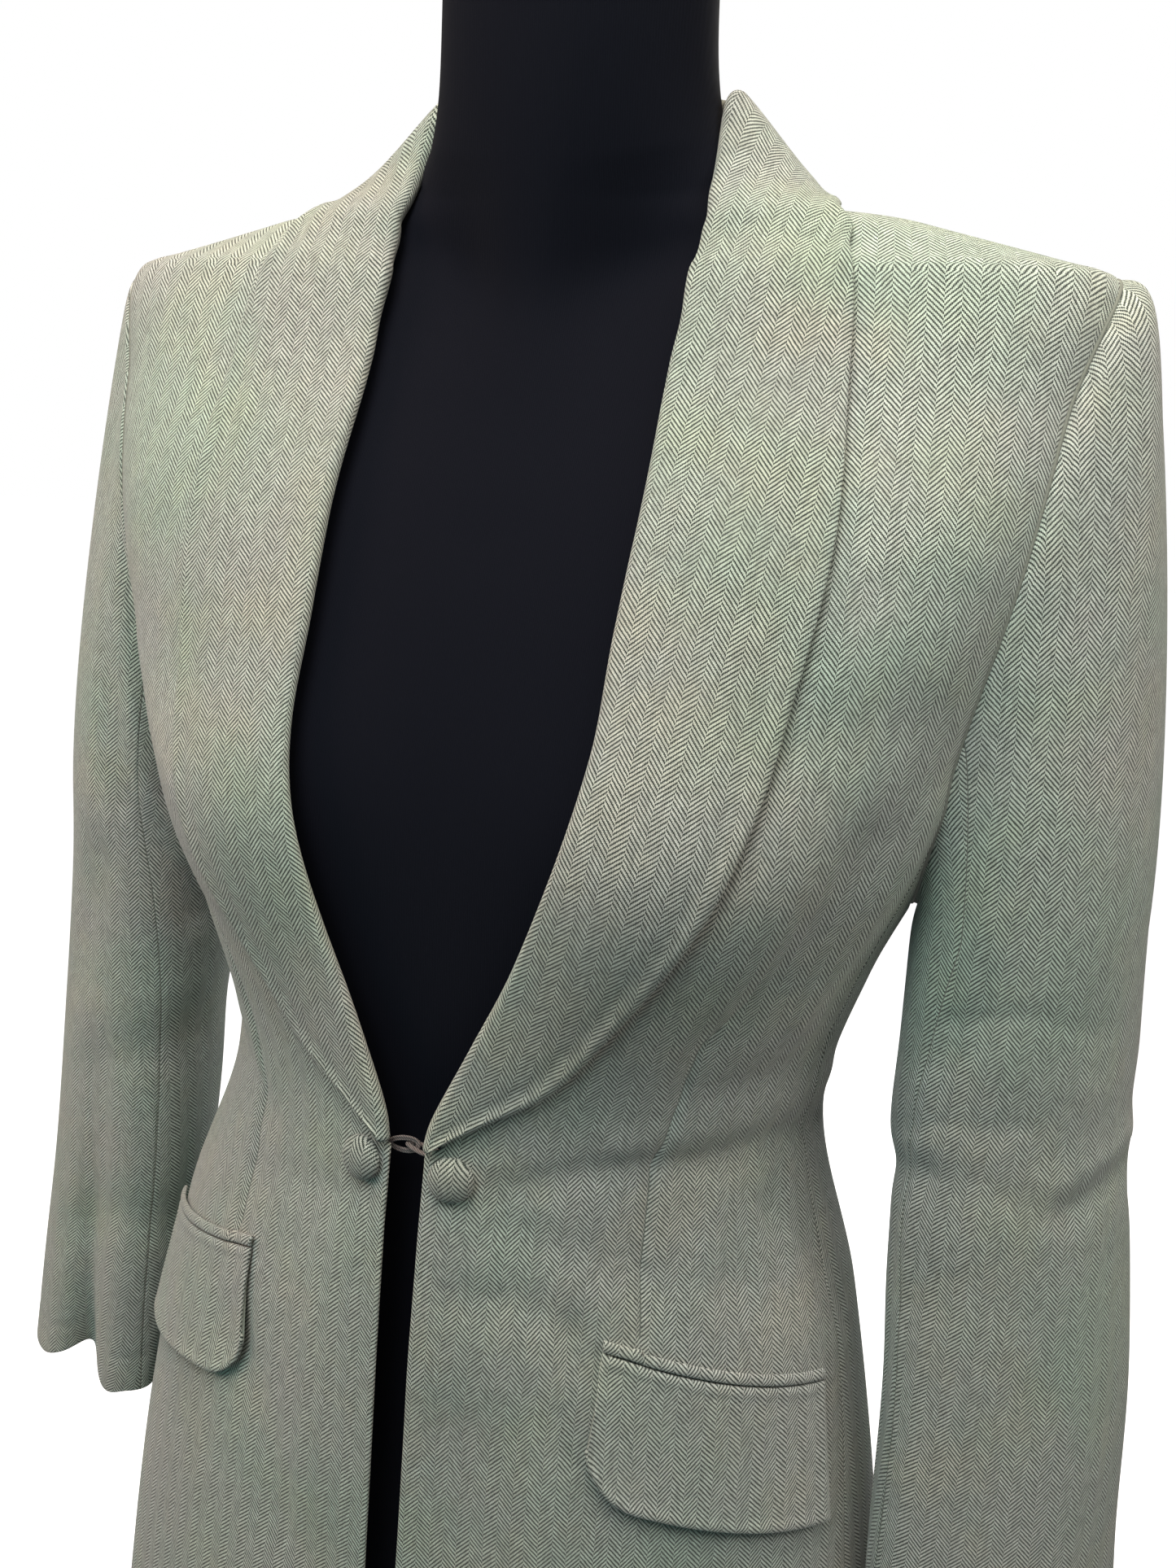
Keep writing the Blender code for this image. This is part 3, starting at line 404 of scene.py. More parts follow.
def rim_distance(points):
    """Distance of each point of a grid from the grid's border, along its own lines."""
    best = np.full(points.shape[:2], FAR_AWAY)
    for axis in (0, 1):
        step = np.linalg.norm(np.diff(points, axis=axis), axis=-1)
        start = np.cumsum(step, axis)
        pad = [(0, 0), (0, 0)]
        pad[axis] = (1, 0)
        start = np.pad(start, pad)
        total = np.take(start, [-1], axis)
        best = np.minimum(best, np.minimum(start, total - start))
    return best


def rim_loop(rows, columns):
    loop = list(range(columns))
    loop += [i * columns + columns - 1 for i in range(1, rows)]
    loop += [(rows - 1) * columns + j for j in range(columns - 2, -1, -1)]
    loop += [i * columns for i in range(rows - 2, 0, -1)]
    return np.array(loop)


def grid_faces(rows, columns, wrap=False):
    i, j = np.meshgrid(np.arange(rows - 1), np.arange(columns if wrap else columns - 1),
                       indexing="ij")
    a = (i * columns + j).ravel()
    b = (i * columns + (j + 1) % columns).ravel()
    return np.stack((a, b, b + columns, a + columns), 1)


def add_mesh(name, vertices, faces, weave=None, finishes=(), finish_of_face=None):
    """Mesh object with smooth faces, a UV map in metres and its finishes."""
    mesh = bpy.data.meshes.new(name)
    mesh.from_pydata(vertices.tolist(), [], faces.tolist())
    if weave is not None:
        layer = mesh.uv_layers.new(name="weave")
        corners = np.zeros(len(mesh.loops), np.int32)
        mesh.loops.foreach_get("vertex_index", corners)
        layer.data.foreach_set("uv", weave[corners].astype(np.float32).ravel())
    for finish in finishes:
        mesh.materials.append(finish)
    if finish_of_face is not None:
        mesh.polygons.foreach_set("material_index", finish_of_face.astype(np.int32))
    mesh.shade_smooth()
    return add_thing(name, mesh)


def fill_between(values, points, known, axis):
    """Carry values known on some of a grid's lines to all of them, by length along the grid."""
    steps = np.linalg.norm(np.diff(points, axis=axis), axis=-1)
    at = np.insert(np.cumsum(steps, axis), 0, 0.0, axis)
    count = points.shape[axis]
    k = np.clip(np.searchsorted(known, np.arange(count), side="right") - 1, 0, len(known) - 2)
    before, after = np.take(at, known[k], axis), np.take(at, known[k + 1], axis)
    share = ((at - before) / (after - before))[..., None]
    return np.take(values, k, axis) * (1 - share) + np.take(values, k + 1, axis) * share


def even_lines(points, axis, count):
    """Some of a grid's lines: about evenly spaced by length, and those where it turns sharply."""
    steps = np.diff(points, axis=axis)
    at = np.concatenate(((0.0,), np.cumsum(np.linalg.norm(steps, axis=-1).mean(1 - axis))))
    wanted = np.linspace(0.0, at[-1], count)
    turning = np.linalg.norm(np.diff(unit(steps), axis=axis), axis=-1).max(1 - axis)
    sharp = np.flatnonzero(turning > SHARP_TURN) + 1
    return np.union1d(np.abs(at[:, None] - wanted).argmin(0), sharp)


def laid_flat(points, grain, rows=90, columns=44):
    """Cloth coordinates in metres: the grid is flattened and turned until its grain stands up."""
    i = even_lines(points, 0, rows)
    j = even_lines(points, 1, columns)
    coarse = points[np.ix_(i, j)].reshape(-1, 3)
    faces = grid_faces(len(i), len(j))
    thing = add_mesh("cloth_to_flatten", coarse, faces, np.zeros((len(coarse), 2)))
    bpy.context.view_layer.objects.active = thing
    bpy.ops.object.mode_set(mode="EDIT")
    bpy.ops.mesh.select_all(action="SELECT")
    bpy.ops.uv.unwrap(method="ANGLE_BASED", fill_holes=False, correct_aspect=False, margin=0.0)
    bpy.ops.object.mode_set(mode="OBJECT")
    corners = np.zeros(len(thing.data.loops), np.int32)
    thing.data.loops.foreach_get("vertex_index", corners)
    read = np.zeros(2 * len(corners), np.float32)
    thing.data.uv_layers["weave"].data.foreach_get("uv", read)
    flat = np.zeros((len(coarse), 2))
    flat[corners] = read.reshape(-1, 2)
    a, b, c, d = (flat[faces[:, k]] for k in range(4))
    first, second = c - a, d - b
    flat_area = np.abs(first[:, 0] * second[:, 1] - first[:, 1] * second[:, 0]).sum() / 2
    flat = flat * math.sqrt(sum(p.area for p in thing.data.polygons) / flat_area)
    bpy.data.meshes.remove(thing.data)
    flat = fill_between(flat.reshape(len(i), len(j), 2), points[:, j], i, 0)
    flat = fill_between(flat, points, j, 1)
    (i0, j0), (i1, j1) = grain
    upward = flat[i1, j1] - flat[i0, j0]
    upward = upward / np.linalg.norm(upward)
    turned = flat - flat[i0, j0]
    return np.stack((turned @ np.array((upward[1], -upward[0])), turned @ upward), -1)


def wall(name, points, weave, side, finishes, cloth=CLOTH, facing=None, inside=None):
    """A piece of cloth: its outer points, its cloth coordinates and its finishes."""
    rows, columns = points.shape[:2]
    count = rows * columns
    if facing is None:
        facing = grid_normals(points) * side
    near = np.clip(rim_distance(points) / RIM_STEPS[-1], 0.0, 1.0)
    drop = (RIM_DROP * cloth * (1 - np.sqrt(1 - (1 - near) ** 2)))[..., None]
    outer = points - facing * drop
    inner = points - facing * (cloth - drop)
    front = grid_faces(rows, columns)
    if side < 0:
        front = front[:, ::-1]
    back = front[:, ::-1] + count
    loop = rim_loop(rows, columns)
    follow = np.roll(loop, -1)
    rim = np.stack((follow, loop, loop + count, follow + count), 1)
    if side < 0:
        rim = rim[:, ::-1]
    faces = np.concatenate((front, back, rim))
    lined = np.zeros(len(faces), int)
    if len(finishes) > 1:
        lined[len(front):2 * len(front)] = 1
        if inside is not None:
            middle = inside.reshape(-1)[front].mean(1) > 0.5
            lined[len(front):2 * len(front)][middle] = 0
    vertices = np.concatenate((outer.reshape(-1, 3), inner.reshape(-1, 3)))
    flat = weave.reshape(-1, 2)
    return add_mesh(name, vertices, faces, np.concatenate((flat, flat)), finishes, lined)


print("cloth is", CLOTH * 1000, "mm thick")

# %% [markdown]
# ## Shader maths as plain expressions
#
# A weave is arithmetic on the cloth coordinates. One small class wraps a socket, so that an
# expression such as `1 - mask * 0.5` adds the Math nodes by itself; its method `node` adds any
# other node, here and in the Geometry Nodes further down.

# %% The shader helpers


class Signal:
    """A socket of a node tree that takes part in sums."""

    def __init__(self, tree, socket):
        self.tree = tree
        self.socket = socket

    def node(self, kind, settings, sockets, output=0):
        """Any node of the signal's tree, from its type, its settings and its sockets."""
        return add_node(self.tree, kind, settings, sockets, output)

    def math(self, operation, *values):
        return self.node("ShaderNodeMath", {"operation": operation}, dict(enumerate(values)))

    def __add__(self, other):
        return self.math("ADD", self, other)

    def __sub__(self, other):
        return self.math("SUBTRACT", self, other)

    def __rsub__(self, other):
        return self.math("SUBTRACT", other, self)

    def __mul__(self, other):
        return self.math("MULTIPLY", self, other)

    def __truediv__(self, other):
        return self.math("DIVIDE", self, other)

    def __rtruediv__(self, other):
        return self.math("DIVIDE", other, self)

    def __pow__(self, other):
        return self.math("POWER", self, other)

    def __rpow__(self, other):
        return self.math("POWER", other, self)

    __radd__, __rmul__ = __add__, __mul__

    def floor(self):
        return self.math("FLOOR", self)

    def cycle(self, length):
        return self.math("FLOORED_MODULO", self, length)

    def size(self):
        return self.math("ABSOLUTE", self)

    def step(self, low, high):
        """Smooth step from 0 at low to 1 at high."""
        sockets = {"Value": self, "From Min": low, "From Max": high}
        return self.node("ShaderNodeMapRange", {"interpolation_type": "SMOOTHSTEP"}, sockets)


def plug(tree, node, key, value):
    if isinstance(value, Signal):
        tree.links.new(value.socket, node.inputs[key])
    else:
        node.inputs[key].default_value = value


def add_node(tree, kind, settings, sockets, output=0):
    """Any node: its settings are set first, then its sockets' values or links."""
    node = tree.nodes.new(kind)
    for key, value in settings.items():
        setattr(node, key, value)
    for key, value in sockets.items():
        plug(tree, node, key, value)
    return Signal(tree, node.outputs[output])


def mix_colour(factor, first, second, blend="MIX"):
    """Mix two colours, each given as red, green, blue or as a signal."""
    signal = factor if isinstance(factor, Signal) else first
    first, second = (v if isinstance(v, Signal) else (*v, 1.0) for v in (first, second))
    settings = {"data_type": "RGBA", "blend_type": blend}
    return signal.node("ShaderNodeMix", settings, {0: factor, 6: first, 7: second}, 2)


def combine(*parts):
    """Vector of up to three signals."""
    return parts[0].node("ShaderNodeCombineXYZ", {}, dict(enumerate(parts)))


def noise(vector, scale, detail=2.0, roughness=0.5):
    sockets = {"Vector": vector, "Scale": scale, "Detail": detail, "Roughness": roughness}
    return vector.node("ShaderNodeTexNoise", {}, sockets)


def new_finish(name, values):
    """Material whose shader has these plain values, that shader, and the object's coordinates."""
    material = bpy.data.materials.new(name)
    material.use_nodes = True
    shader = material.node_tree.nodes["Principled BSDF"]
    for key, value in values.items():
        shader.inputs[key].default_value = value
    return material, shader, add_node(material.node_tree, "ShaderNodeTexCoord", {}, {}, 3)


def paint(shader, colour, height=None, distance=0.0, strength=0.0, roughness=None):
    """Lead a colour to a shader, and a bump and a roughness where they are given."""
    tree = colour.tree
    plug(tree, shader, "Base Color", colour)
    if height is not None:
        sockets = {"Height": height, "Distance": distance, "Strength": strength}
        plug(tree, shader, "Normal", colour.node("ShaderNodeBump", {}, sockets))
    if roughness is not None:
        plug(tree, shader, "Roughness", roughness)


print("shader helpers ready")

# %% [markdown]
# ## Herringbone
#
# Herringbone is a 2/2 twill: each lengthwise yarn passes over two crosswise yarns, then under
# two, and each row starts one yarn further on, which draws slanting strokes. After twelve yarns
# the slant turns back and the strokes are offset by half, which makes the columns. The
# lengthwise yarn is pale sage and the crosswise one a darker grey-green. Counting yarns in the
# shader gives the pattern its true scale from any distance.

# %% The coat's cloth
END = 0.00047
PICK = 0.00049
ENDS_A_COLUMN = 12
YARN_SWAY, END_JITTER, PICK_JITTER = 0.0022, 0.00030, 0.00045
PALE = (0.630, 0.668, 0.655)
DARK = (0.036, 0.052, 0.047)


def herringbone(name, pale=PALE, dark=DARK):
    values = {"Roughness": 0.9, "Specular IOR Level": 0.25, "Sheen Weight": 0.22,
              "Sheen Roughness": 0.55}
    material, shader, place = new_finish(name, values)
    uv = place.node("ShaderNodeUVMap", {"uv_map": "weave"}, {})
    across, along = (uv.node("ShaderNodeSeparateXYZ", {}, {0: uv}, k) for k in (0, 1))
    across = across + (noise(place, 22.0, 1.0) - 0.5) * YARN_SWAY
    across = across + (noise(place, 700.0, 1.0) - 0.5) * END_JITTER
    along = along + (noise(place, 31.0, 1.0) - 0.5) * YARN_SWAY
    along = along + (noise(place, 820.0, 1.0) - 0.5) * PICK_JITTER
    ends, picks = across / END, along / PICK
    column = (ends / ENDS_A_COLUMN).floor()
    odd = column.cycle(2.0)
    lean = odd * 2 - 1
    inside = ends - column * ENDS_A_COLUMN
    slant = picks + lean * (inside.floor() + 0.5) + odd * 2
    phase = slant.cycle(4.0)
    slub = combine(column, (slant / 4).floor(), (inside / 4).floor())
    slub = slub.node("ShaderNodeTexWhiteNoise", {"noise_dimensions": "3D"}, {"Vector": slub})
    over = (phase / 2 - 1).size().step(0.30, 0.58)
    worn = noise(place, 34.0, 3.0, 0.6).step(0.42, 0.72) * 0.17
    worn = worn + noise(place, 900.0, 2.0, 0.6).step(0.50, 0.72) * 0.22
    blend = over + (0.45 - over) * worn
    warp = 1 - ((inside.cycle(1.0) - 0.5) * 2) ** 2 * 0.5
    weft = 1 - ((picks.cycle(1.0) - 0.5) * 2) ** 2 * 0.5
    relief = over * warp + (1 - over) * weft * 0.55
    fuzz = noise(place, 2600.0, 2.0, 0.6)
    streak = noise(combine(ends.floor(), along * 60), 0.9, 1.0)
    cloud = noise(place, 9.0, 3.0, 0.55)
    patch = noise(place, 24.0, 3.0, 0.6)
    tone = mix_colour(blend, dark, pale)
    tone = mix_colour(cloud.step(0.35, 0.70) * 0.55, tone, (0.76, 1.03, 0.86), "MULTIPLY")
    tone = mix_colour(patch.step(0.42, 0.72) * 0.45, tone, (1.15, 1.08, 0.94), "MULTIPLY")
    # Painted shade: the relief term darkens the colour between the yarns and on the lower weft.
    # Fuzz, streak and slub vary the tone at random.
    shade = (0.72 + relief * 0.30) * (0.80 + fuzz * 0.40) * (0.88 + streak * 0.24)
    shade = shade * (0.84 + slub * 0.32)
    colour = mix_colour(1.0, tone, combine(shade, shade, shade), "MULTIPLY")
    paint(shader, colour, relief + fuzz * 0.35, 0.00022, 0.55)
    return material


cloth_finish = herringbone("herringbone_wool")
print("a herringbone column is", round(ENDS_A_COLUMN * END * 1000, 1), "mm wide")

# %% [markdown]
# ## The lining
#
# The photograph hides the inside of the coat. A tailored coat is lined with a plain satin in
# the colour of its cloth, so the faces that look inwards get that finish, and only the facings
# behind the front edges and at the hems are of the coat's own cloth.

# %% The lining's satin


def satin():
    values = {"Roughness": 0.42, "Specular IOR Level": 0.5, "Sheen Weight": 0.15}
    material, shader, place = new_finish("lining_satin", values)
    ribs = {"Vector": place, "Scale": (1.0, 1.0, 0.1)}
    grain = noise(place.node("ShaderNodeMapping", {}, ribs), 3200.0, 1.0)
    cloud = noise(place, 14.0).step(0.3, 0.7)
    colour = mix_colour(cloud, (0.24, 0.28, 0.235), (0.29, 0.33, 0.28))
    paint(shader, colour, grain, 0.00006, 0.3, 0.38 + grain * 0.12)
    return material


lining_finish = satin()
COAT = (cloth_finish, lining_finish)
print("finishes so far:", [m.name for m in COAT])

# %% [markdown]
# ## Armholes, seams and edges
#
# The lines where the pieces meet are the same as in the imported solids. Each is a short rule: an
# oval for the armhole, a table for the side-front seam and one for the collar.

# %% Seam lines
ARMHOLE_BOTTOM, ARMHOLE_TOP = 0.098, 0.345
ARMHOLE_FRONT, ARMHOLE_BACK = 16.0, 20.0
SIDE_SEAM_BACK = 106.5
EDGE_HALF_GAP = 0.0072
COLLAR_TIP_LEVEL = 0.003
NECKLINE_GAP = 0.010
BODY_RADIUS, ARMHOLE_RADIUS, NECK_RADIUS = 0.17, 0.19, 0.066
HALF_SEAM = SEAM_GAP / 2 / BODY_RADIUS
SIDE_SEAM = Table(("level", "angle"), (
    ("hem", -0.590, 77.0), ("hip", -0.200, 78.0), ("pocket", -0.090, 81.0),
    ("waist", 0.010, 79.5), ("bust", 0.110, 76.5), ("armhole", 0.200, 76.5)))
COLLAR = Table(
    ("station", "roll", "roll_level", "edge", "edge_level", "seam", "seam_level", "free"),
    (
        ("tip", 0.0, 4.6, 0.003, 5.8, 0.0058, 5.4, 0.003, 0.0),
        ("point", 1.0, 6.3, 0.018, 13.5, 0.0172, 9.0, 0.018, 0.0),
        ("belly", 2.0, 12.4, 0.048, 25.0, 0.034, 15.5, 0.046, 0.0),
        ("ribs", 3.0, 19.0, 0.081, 33.6, 0.0625, 22.0, 0.078, 0.0),
        ("under_bust", 4.0, 24.4, 0.120, 41.5, 0.103, 27.2, 0.118, 0.0),
        ("bust", 5.0, 28.1, 0.160, 47.4, 0.148, 30.8, 0.158, 0.0),
        ("chest", 6.0, 31.0, 0.205, 52.0, 0.198, 34.0, 0.204, 0.0),
        ("across", 7.0, 36.0, 0.250, 57.4, 0.250, 40.0, 0.250, 0.0),
        ("upper", 8.0, 44.2, 0.300, 63.4, 0.298, 49.0, 0.302, 0.0),
        ("collarbone", 9.0, 50.2, 0.330, 67.6, 0.330, 56.0, 0.338, 0.1),
        ("neck_front", 10.0, 56.3, 0.377, 70.6, 0.362, 62.0, 0.392, 0.3),
        ("neck_rise", 11.0, 61.0, 0.455, 73.8, 0.395, 67.5, 0.444, 0.5),
        ("neck_side", 12.0, 67.5, 0.485, 77.0, 0.429, 73.0, 0.468, 0.8),
        ("shoulder", 13.0, 78.0, 0.513, 87.0, 0.449, 81.0, 0.482, 1.0),
        ("neck_point", 14.0, 92.0, 0.519, 100.0, 0.455, 93.0, 0.4845, 1.0),
        ("neck_back", 15.0, 117.0, 0.520, 121.0, 0.452, 117.0, 0.4845, 1.0),
        ("behind", 16.0, 148.0, 0.520, 149.0, 0.445, 148.0, 0.4845, 1.0),
        ("centre_back", 17.0, 180.0, 0.520, 180.0, 0.441, 180.0, 0.4845, 1.0),
    ))
LAST_STATION = 17.0


def armhole(turn, inset=0.0):
    """Angle and level on the armhole: turn 0 is the underarm, 90 degrees the front, 180 the top."""
    middle = (ARMHOLE_TOP + ARMHOLE_BOTTOM) / 2
    half = (ARMHOLE_TOP - ARMHOLE_BOTTOM) / 2 - inset
    level = middle - half * np.cos(turn)
    sideways = np.sin(turn)
    front = math.radians(ARMHOLE_FRONT) * (1 + 0.25 * np.cos(turn))
    back = math.radians(ARMHOLE_BACK)
    width = np.where(sideways > 0, front, back) - inset / ARMHOLE_RADIUS
    return math.pi / 2 - width * sideways, level


def seam_angle(level):
    return np.radians(SIDE_SEAM.read(level)["angle"])


def turn_at(angle, front):
    """Where the armhole crosses a side seam, below its widest place."""
    turns = np.linspace(0.0, math.pi / 2, 2000) * (1 if front else -1)
    angles, _ = armhole(turns)
    return float(turns[np.argmin(np.abs(angles - angle))])


FRONT_TURN = turn_at(math.radians(SIDE_SEAM.values[-1, 1]), True)
BACK_TURN = turn_at(math.radians(SIDE_SEAM_BACK), False)


def neckline(level):
    """Angle of the fronts' hidden seam to the collar, at levels below the neck."""
    rows = COLLAR.read(np.linspace(0.0, LAST_STATION, 900))
    rising = np.maximum.accumulate(rows["seam_level"])
    return np.interp(level, rising, np.radians(rows["seam"])) + NECKLINE_GAP


def front_edge(level):
    """Angle of the fronts' free edges below the collar."""
    return np.arcsin(EDGE_HALF_GAP / -smooth_skin(0.0 * level, level)[..., 1])


print("the side-front seam meets the armhole at", round(math.degrees(FRONT_TURN)), "degrees")

# %% [markdown]
# ## Fronts, side pieces and backs
#
# The body of a coat is cut as fronts, narrow side pieces under the arms and two backs. Each is
# one grid from hem to shoulder. The fronts have extra lines close to the waist dart, so that its
# stitched valley is real shape and not only a painted line.

# %% Levels of the panels
GRAIN_LEVELS = (-0.55, -0.06)
FRONT_GRAIN, SIDE_GRAIN, BACK_GRAIN = (math.radians(v) for v in (14, 93, 180))
FACING_ANGLE, HEM_FACING = math.radians(26), 0.035
TIP_STEP = 0.0025
SMALL_PIECE_ROWS = 100
LOWER_LEVELS = HEM_LEVEL + (COLLAR_TIP_LEVEL - TIP_STEP - HEM_LEVEL) * edged(0.59, 104, last=False)
SHOULDER_LEVELS = ARMHOLE_TOP + (NECK_LEVEL - ARMHOLE_TOP) * edged(0.137, 26, first=False)[1:]


def body_levels(turn):
    """Levels from the hem to where a side seam meets the armhole."""
    _, top = armhole(turn)
    return np.concatenate((LOWER_LEVELS, np.linspace(COLLAR_TIP_LEVEL, float(top), 30)))


def outer_edge(seam, turn, top, count):
    """Levels from hem to neck, and the angle of a panel's edge at the side seam and armhole."""
    arm_angle, arm_level = armhole(np.linspace(turn, top, count)[1:])
    body = body_levels(turn)
    shoulder = np.full(len(SHOULDER_LEVELS), math.pi / 2)
    level = np.concatenate((body, arm_level, SHOULDER_LEVELS))
    return level, np.concatenate((seam + 0 * body, arm_angle, shoulder))


def spread(knots, shares):
    """Columns between edges given row by row, with their own shares in each stretch."""
    stretches = []
    for a, b, share in zip(knots, knots[1:], shares):
        stretches.append(a[:, None] + (b - a)[:, None] * share)
    return np.concatenate([s[:, :-1] for s in stretches[:-1]] + [stretches[-1]], 1)


def add_panel(name, side, angle, level, grain, faced=0.0, lift=0.0, shift=(0.0, 0.0), down=False):
    """Cloth over the body, faced as far as an angle; down says that its rows run downwards."""
    level = np.broadcast_to(level, angle.shape)
    signed = side * angle
    points = skin(signed, level)
    if np.any(lift):
        points = points + normals_of(skin, signed, level) * lift
    if len(points) > SMALL_PIECE_ROWS:
        low, high = (int(np.argmin(np.abs(level[:, 0] - z))) for z in GRAIN_LEVELS)
        at_low, at_high = (int(np.argmin(np.abs(angle[i] - grain))) for i in (low, high))
        weave = laid_flat(points, ((low, at_low), (high, at_high)), 120, 56)
    else:
        weave = body_weave(signed, level, side * grain) + np.array(shift)
    inside = (angle < faced) | (level < HEM_LEVEL + HEM_FACING)
    return wall(name, points, weave, -side if down else side, COAT, inside=inside)


def front_panel(name, side):
    """A front; its middle columns crowd at the dart, and leave it above the bust."""
    level, far = outer_edge(seam_angle(body_levels(FRONT_TURN)), FRONT_TURN, math.pi, 46)
    far = far - HALF_SEAM
    near = np.where(level < COLLAR_TIP_LEVEL, front_edge(level), neckline(level))
    dart = dart_angle(level)
    share = np.interp(level, (0.05, 0.18), (0.0, 1.0))
    middle = dart + (near + (far - near) * 0.55 - dart) * share
    angle = spread((near, middle, far), (edged(0.10, 26), edged(0.08, 24)))
    return add_panel(name, side, angle, level[:, None], FRONT_GRAIN, faced=FACING_ANGLE)


def side_panel(name, side):
    front_levels, back_levels = body_levels(FRONT_TURN), body_levels(BACK_TURN)
    share = edged(0.09, 22)
    first = seam_angle(front_levels)[:, None] + HALF_SEAM
    last = math.radians(SIDE_SEAM_BACK) - HALF_SEAM
    angle = first + (last - first) * share
    hole_angle, hole_level = armhole(np.linspace(FRONT_TURN, BACK_TURN, 400))
    top = np.interp(angle[-1], hole_angle, hole_level)
    level = spread((front_levels, back_levels), (share,))
    rise = (level[:, :1] - COLLAR_TIP_LEVEL) / (level[-1:, :1] - COLLAR_TIP_LEVEL)
    level = level + (top - level[-1]) * np.clip(rise, 0.0, 1.0)
    return add_panel(name, side, angle, level, SIDE_GRAIN)


def back_panel(name, side):
    level, near = outer_edge(math.radians(SIDE_SEAM_BACK), BACK_TURN, -math.pi, 40)
    centre = SEAM_GAP / 2 / np.abs(smooth_skin(math.pi + 0 * level, level)[..., 1])
    angle = spread((near + HALF_SEAM, math.pi - centre), (edged(0.18, 52),))
    return add_panel(name, side, angle, level[:, None], BACK_GRAIN)


# %% Make the panels
panels = {}


def make_pair(**makers):
    """Make pieces from their names and makers, all of the left side before the right."""
    for word, side in SIDES:
        for name, make in makers.items():
            name = name + "_" + word
            panels[name] = make(name + "_cloth", side)


make_pair(front=front_panel, side=side_panel, back=back_panel)
print("faces in a front:", len(panels["front_left"].data.polygons))

# %% [markdown]
# ## The shawl collar
#
# A shawl collar and its front are one piece that turns back along the roll line. It has a layer
# hidden against the front, a soft roll, and the fall outside. Its herringbone runs along the
# roll line. A slight bead follows its outer edge, where the seam is turned inside.

# %% Collar
COLLAR_CLOTH = 0.0022
COLLAR_LIFT = 0.0018
ROLL_RADIUS = 0.0022
ROLL_EASE = 0.14
COLLAR_GRAIN_ROWS = (30, 100)


def surface_strip(start, end, shares):
    angle = start[0][:, None] + (end[0] - start[0])[:, None] * shares
    level = start[1][:, None] + (end[1] - start[1])[:, None] * shares
    return skin(angle, level), normals_of(skin, angle, level)


def roll_bend(foot, across, up, free, count):
    """The roll's half turn, cut short where the fall hangs free, and where it hands over."""
    end = math.pi * (1 - ROLL_EASE * free)
    turns = (end[:, None] * np.linspace(0.0, 1.0, count)[1:-1])[..., None]
    ways = np.sin(turns) * across[:, None] - np.cos(turns) * up[:, None]
    centre = foot + up * (ROLL_RADIUS - CLOTH / 2)
    end = end[:, None]
    last = centre + (np.sin(end) * across - np.cos(end) * up) * ROLL_RADIUS
    leaving = np.cos(end) * across + np.sin(end) * up
    return centre[:, None] + ways * ROLL_RADIUS, ways, last, leaving


def fall_curve(start, leaving, end, end_out, share):
    """A collar's fall hanging free, from its roll to where its edge comes down on the shoulder."""
    chord = end - start
    span = np.linalg.norm(chord, axis=-1, keepdims=True)
    arriving = unit(unit(chord) - end_out * 0.25)
    return hermite(start[:, None], (leaving * span * 0.8)[:, None], end[:, None],
                   (arriving * span * 0.9)[:, None], share)


def collar_middle(side):
    """The middle surface of one collar half, its facing, and its columns before the fall."""
    row = COLLAR.read(np.linspace(0.0, LAST_STATION, 190))
    limit = math.pi - SEAM_GAP / 2 / NECK_RADIUS
    roll, edge, seam = (np.minimum(np.radians(row[k]), limit) for k in ("roll", "edge", "seam"))
    roll_at = (side * roll, row["roll_level"])
    base, out = surface_strip((side * seam, row["seam_level"]), roll_at, np.linspace(0, 1, 6))
    base_middle = base - out * CLOTH / 2
    shares = edged(0.07, 34, first=False)
    over, over_out = surface_strip(roll_at, (side * edge, row["edge_level"]), shares)
    share = shares[None, :, None]
    start_lift = 2 * ROLL_RADIUS - CLOTH / 2
    end_lift = (COLLAR_LIFT * (1 - 0.9 * row["free"]) + COLLAR_CLOTH / 2)[:, None, None]
    lying = over + over_out * (start_lift + (end_lift - start_lift) * share)
    up = out[:, -1]
    across = base[:, -1] - base[:, -2]
    across = unit(across - up * np.sum(across * up, -1, keepdims=True))
    bend, ways, first, leaving = roll_bend(base[:, -1], across, up, row["free"], 12)
    free = fall_curve(first, leaving, lying[:, -1], over_out[:, -1], share)
    loose = row["free"][:, None, None]
    fall = lying + (free - lying) * loose
    fall_out = unit(over_out + (grid_normals(fall) * side - over_out) * loose)
    middle = np.concatenate((base_middle, bend, fall), 1)
    facing = np.concatenate((-out, ways, fall_out), 1)
    return middle, facing, base.shape[1] + bend.shape[1]


def collar_half(name, side):
    middle, facing, start = collar_middle(side)
    points = middle + facing * COLLAR_CLOTH / 2
    fall = points[:, start:]
    width = np.linalg.norm(np.diff(fall, axis=1), axis=-1)
    to_edge = np.cumsum(width[:, ::-1], 1)[:, ::-1]
    to_edge = np.concatenate((to_edge, np.zeros((len(fall), 1))), 1)
    bead = 0.0007 * bell(to_edge, 0.0030, 0.0020) - 0.0004 * bell(to_edge, 0.0090, 0.0030)
    points[:, start:] += facing[:, start:] * bead[..., None]
    points[-1, :, 0] = side * SEAM_GAP / 2
    weave = laid_flat(points, tuple((row, start) for row in COLLAR_GRAIN_ROWS), 100, 60)
    return wall(name, points, weave, -side, [collar_shaded_finish], cloth=COLLAR_CLOTH, facing=facing)


# The collar's cloth is a darker copy of the coat's herringbone. This paints shade on the collar.
collar_shaded_finish = herringbone("collar_wool_painted_shade", (0.555, 0.597, 0.577), (0.033, 0.049, 0.044))
make_pair(collar=collar_half)
print("collar faces:", len(panels["collar_left"].data.polygons))

# %% [markdown]
# ## The sleeves
#
# A tailored sleeve is two pieces: the top sleeve outside and the under sleeve by the body. Its
# head is fuller than the armhole, eased over a pad. Below the biceps each sleeve follows a few
# rings, and the cloth breaks a little at the elbow.

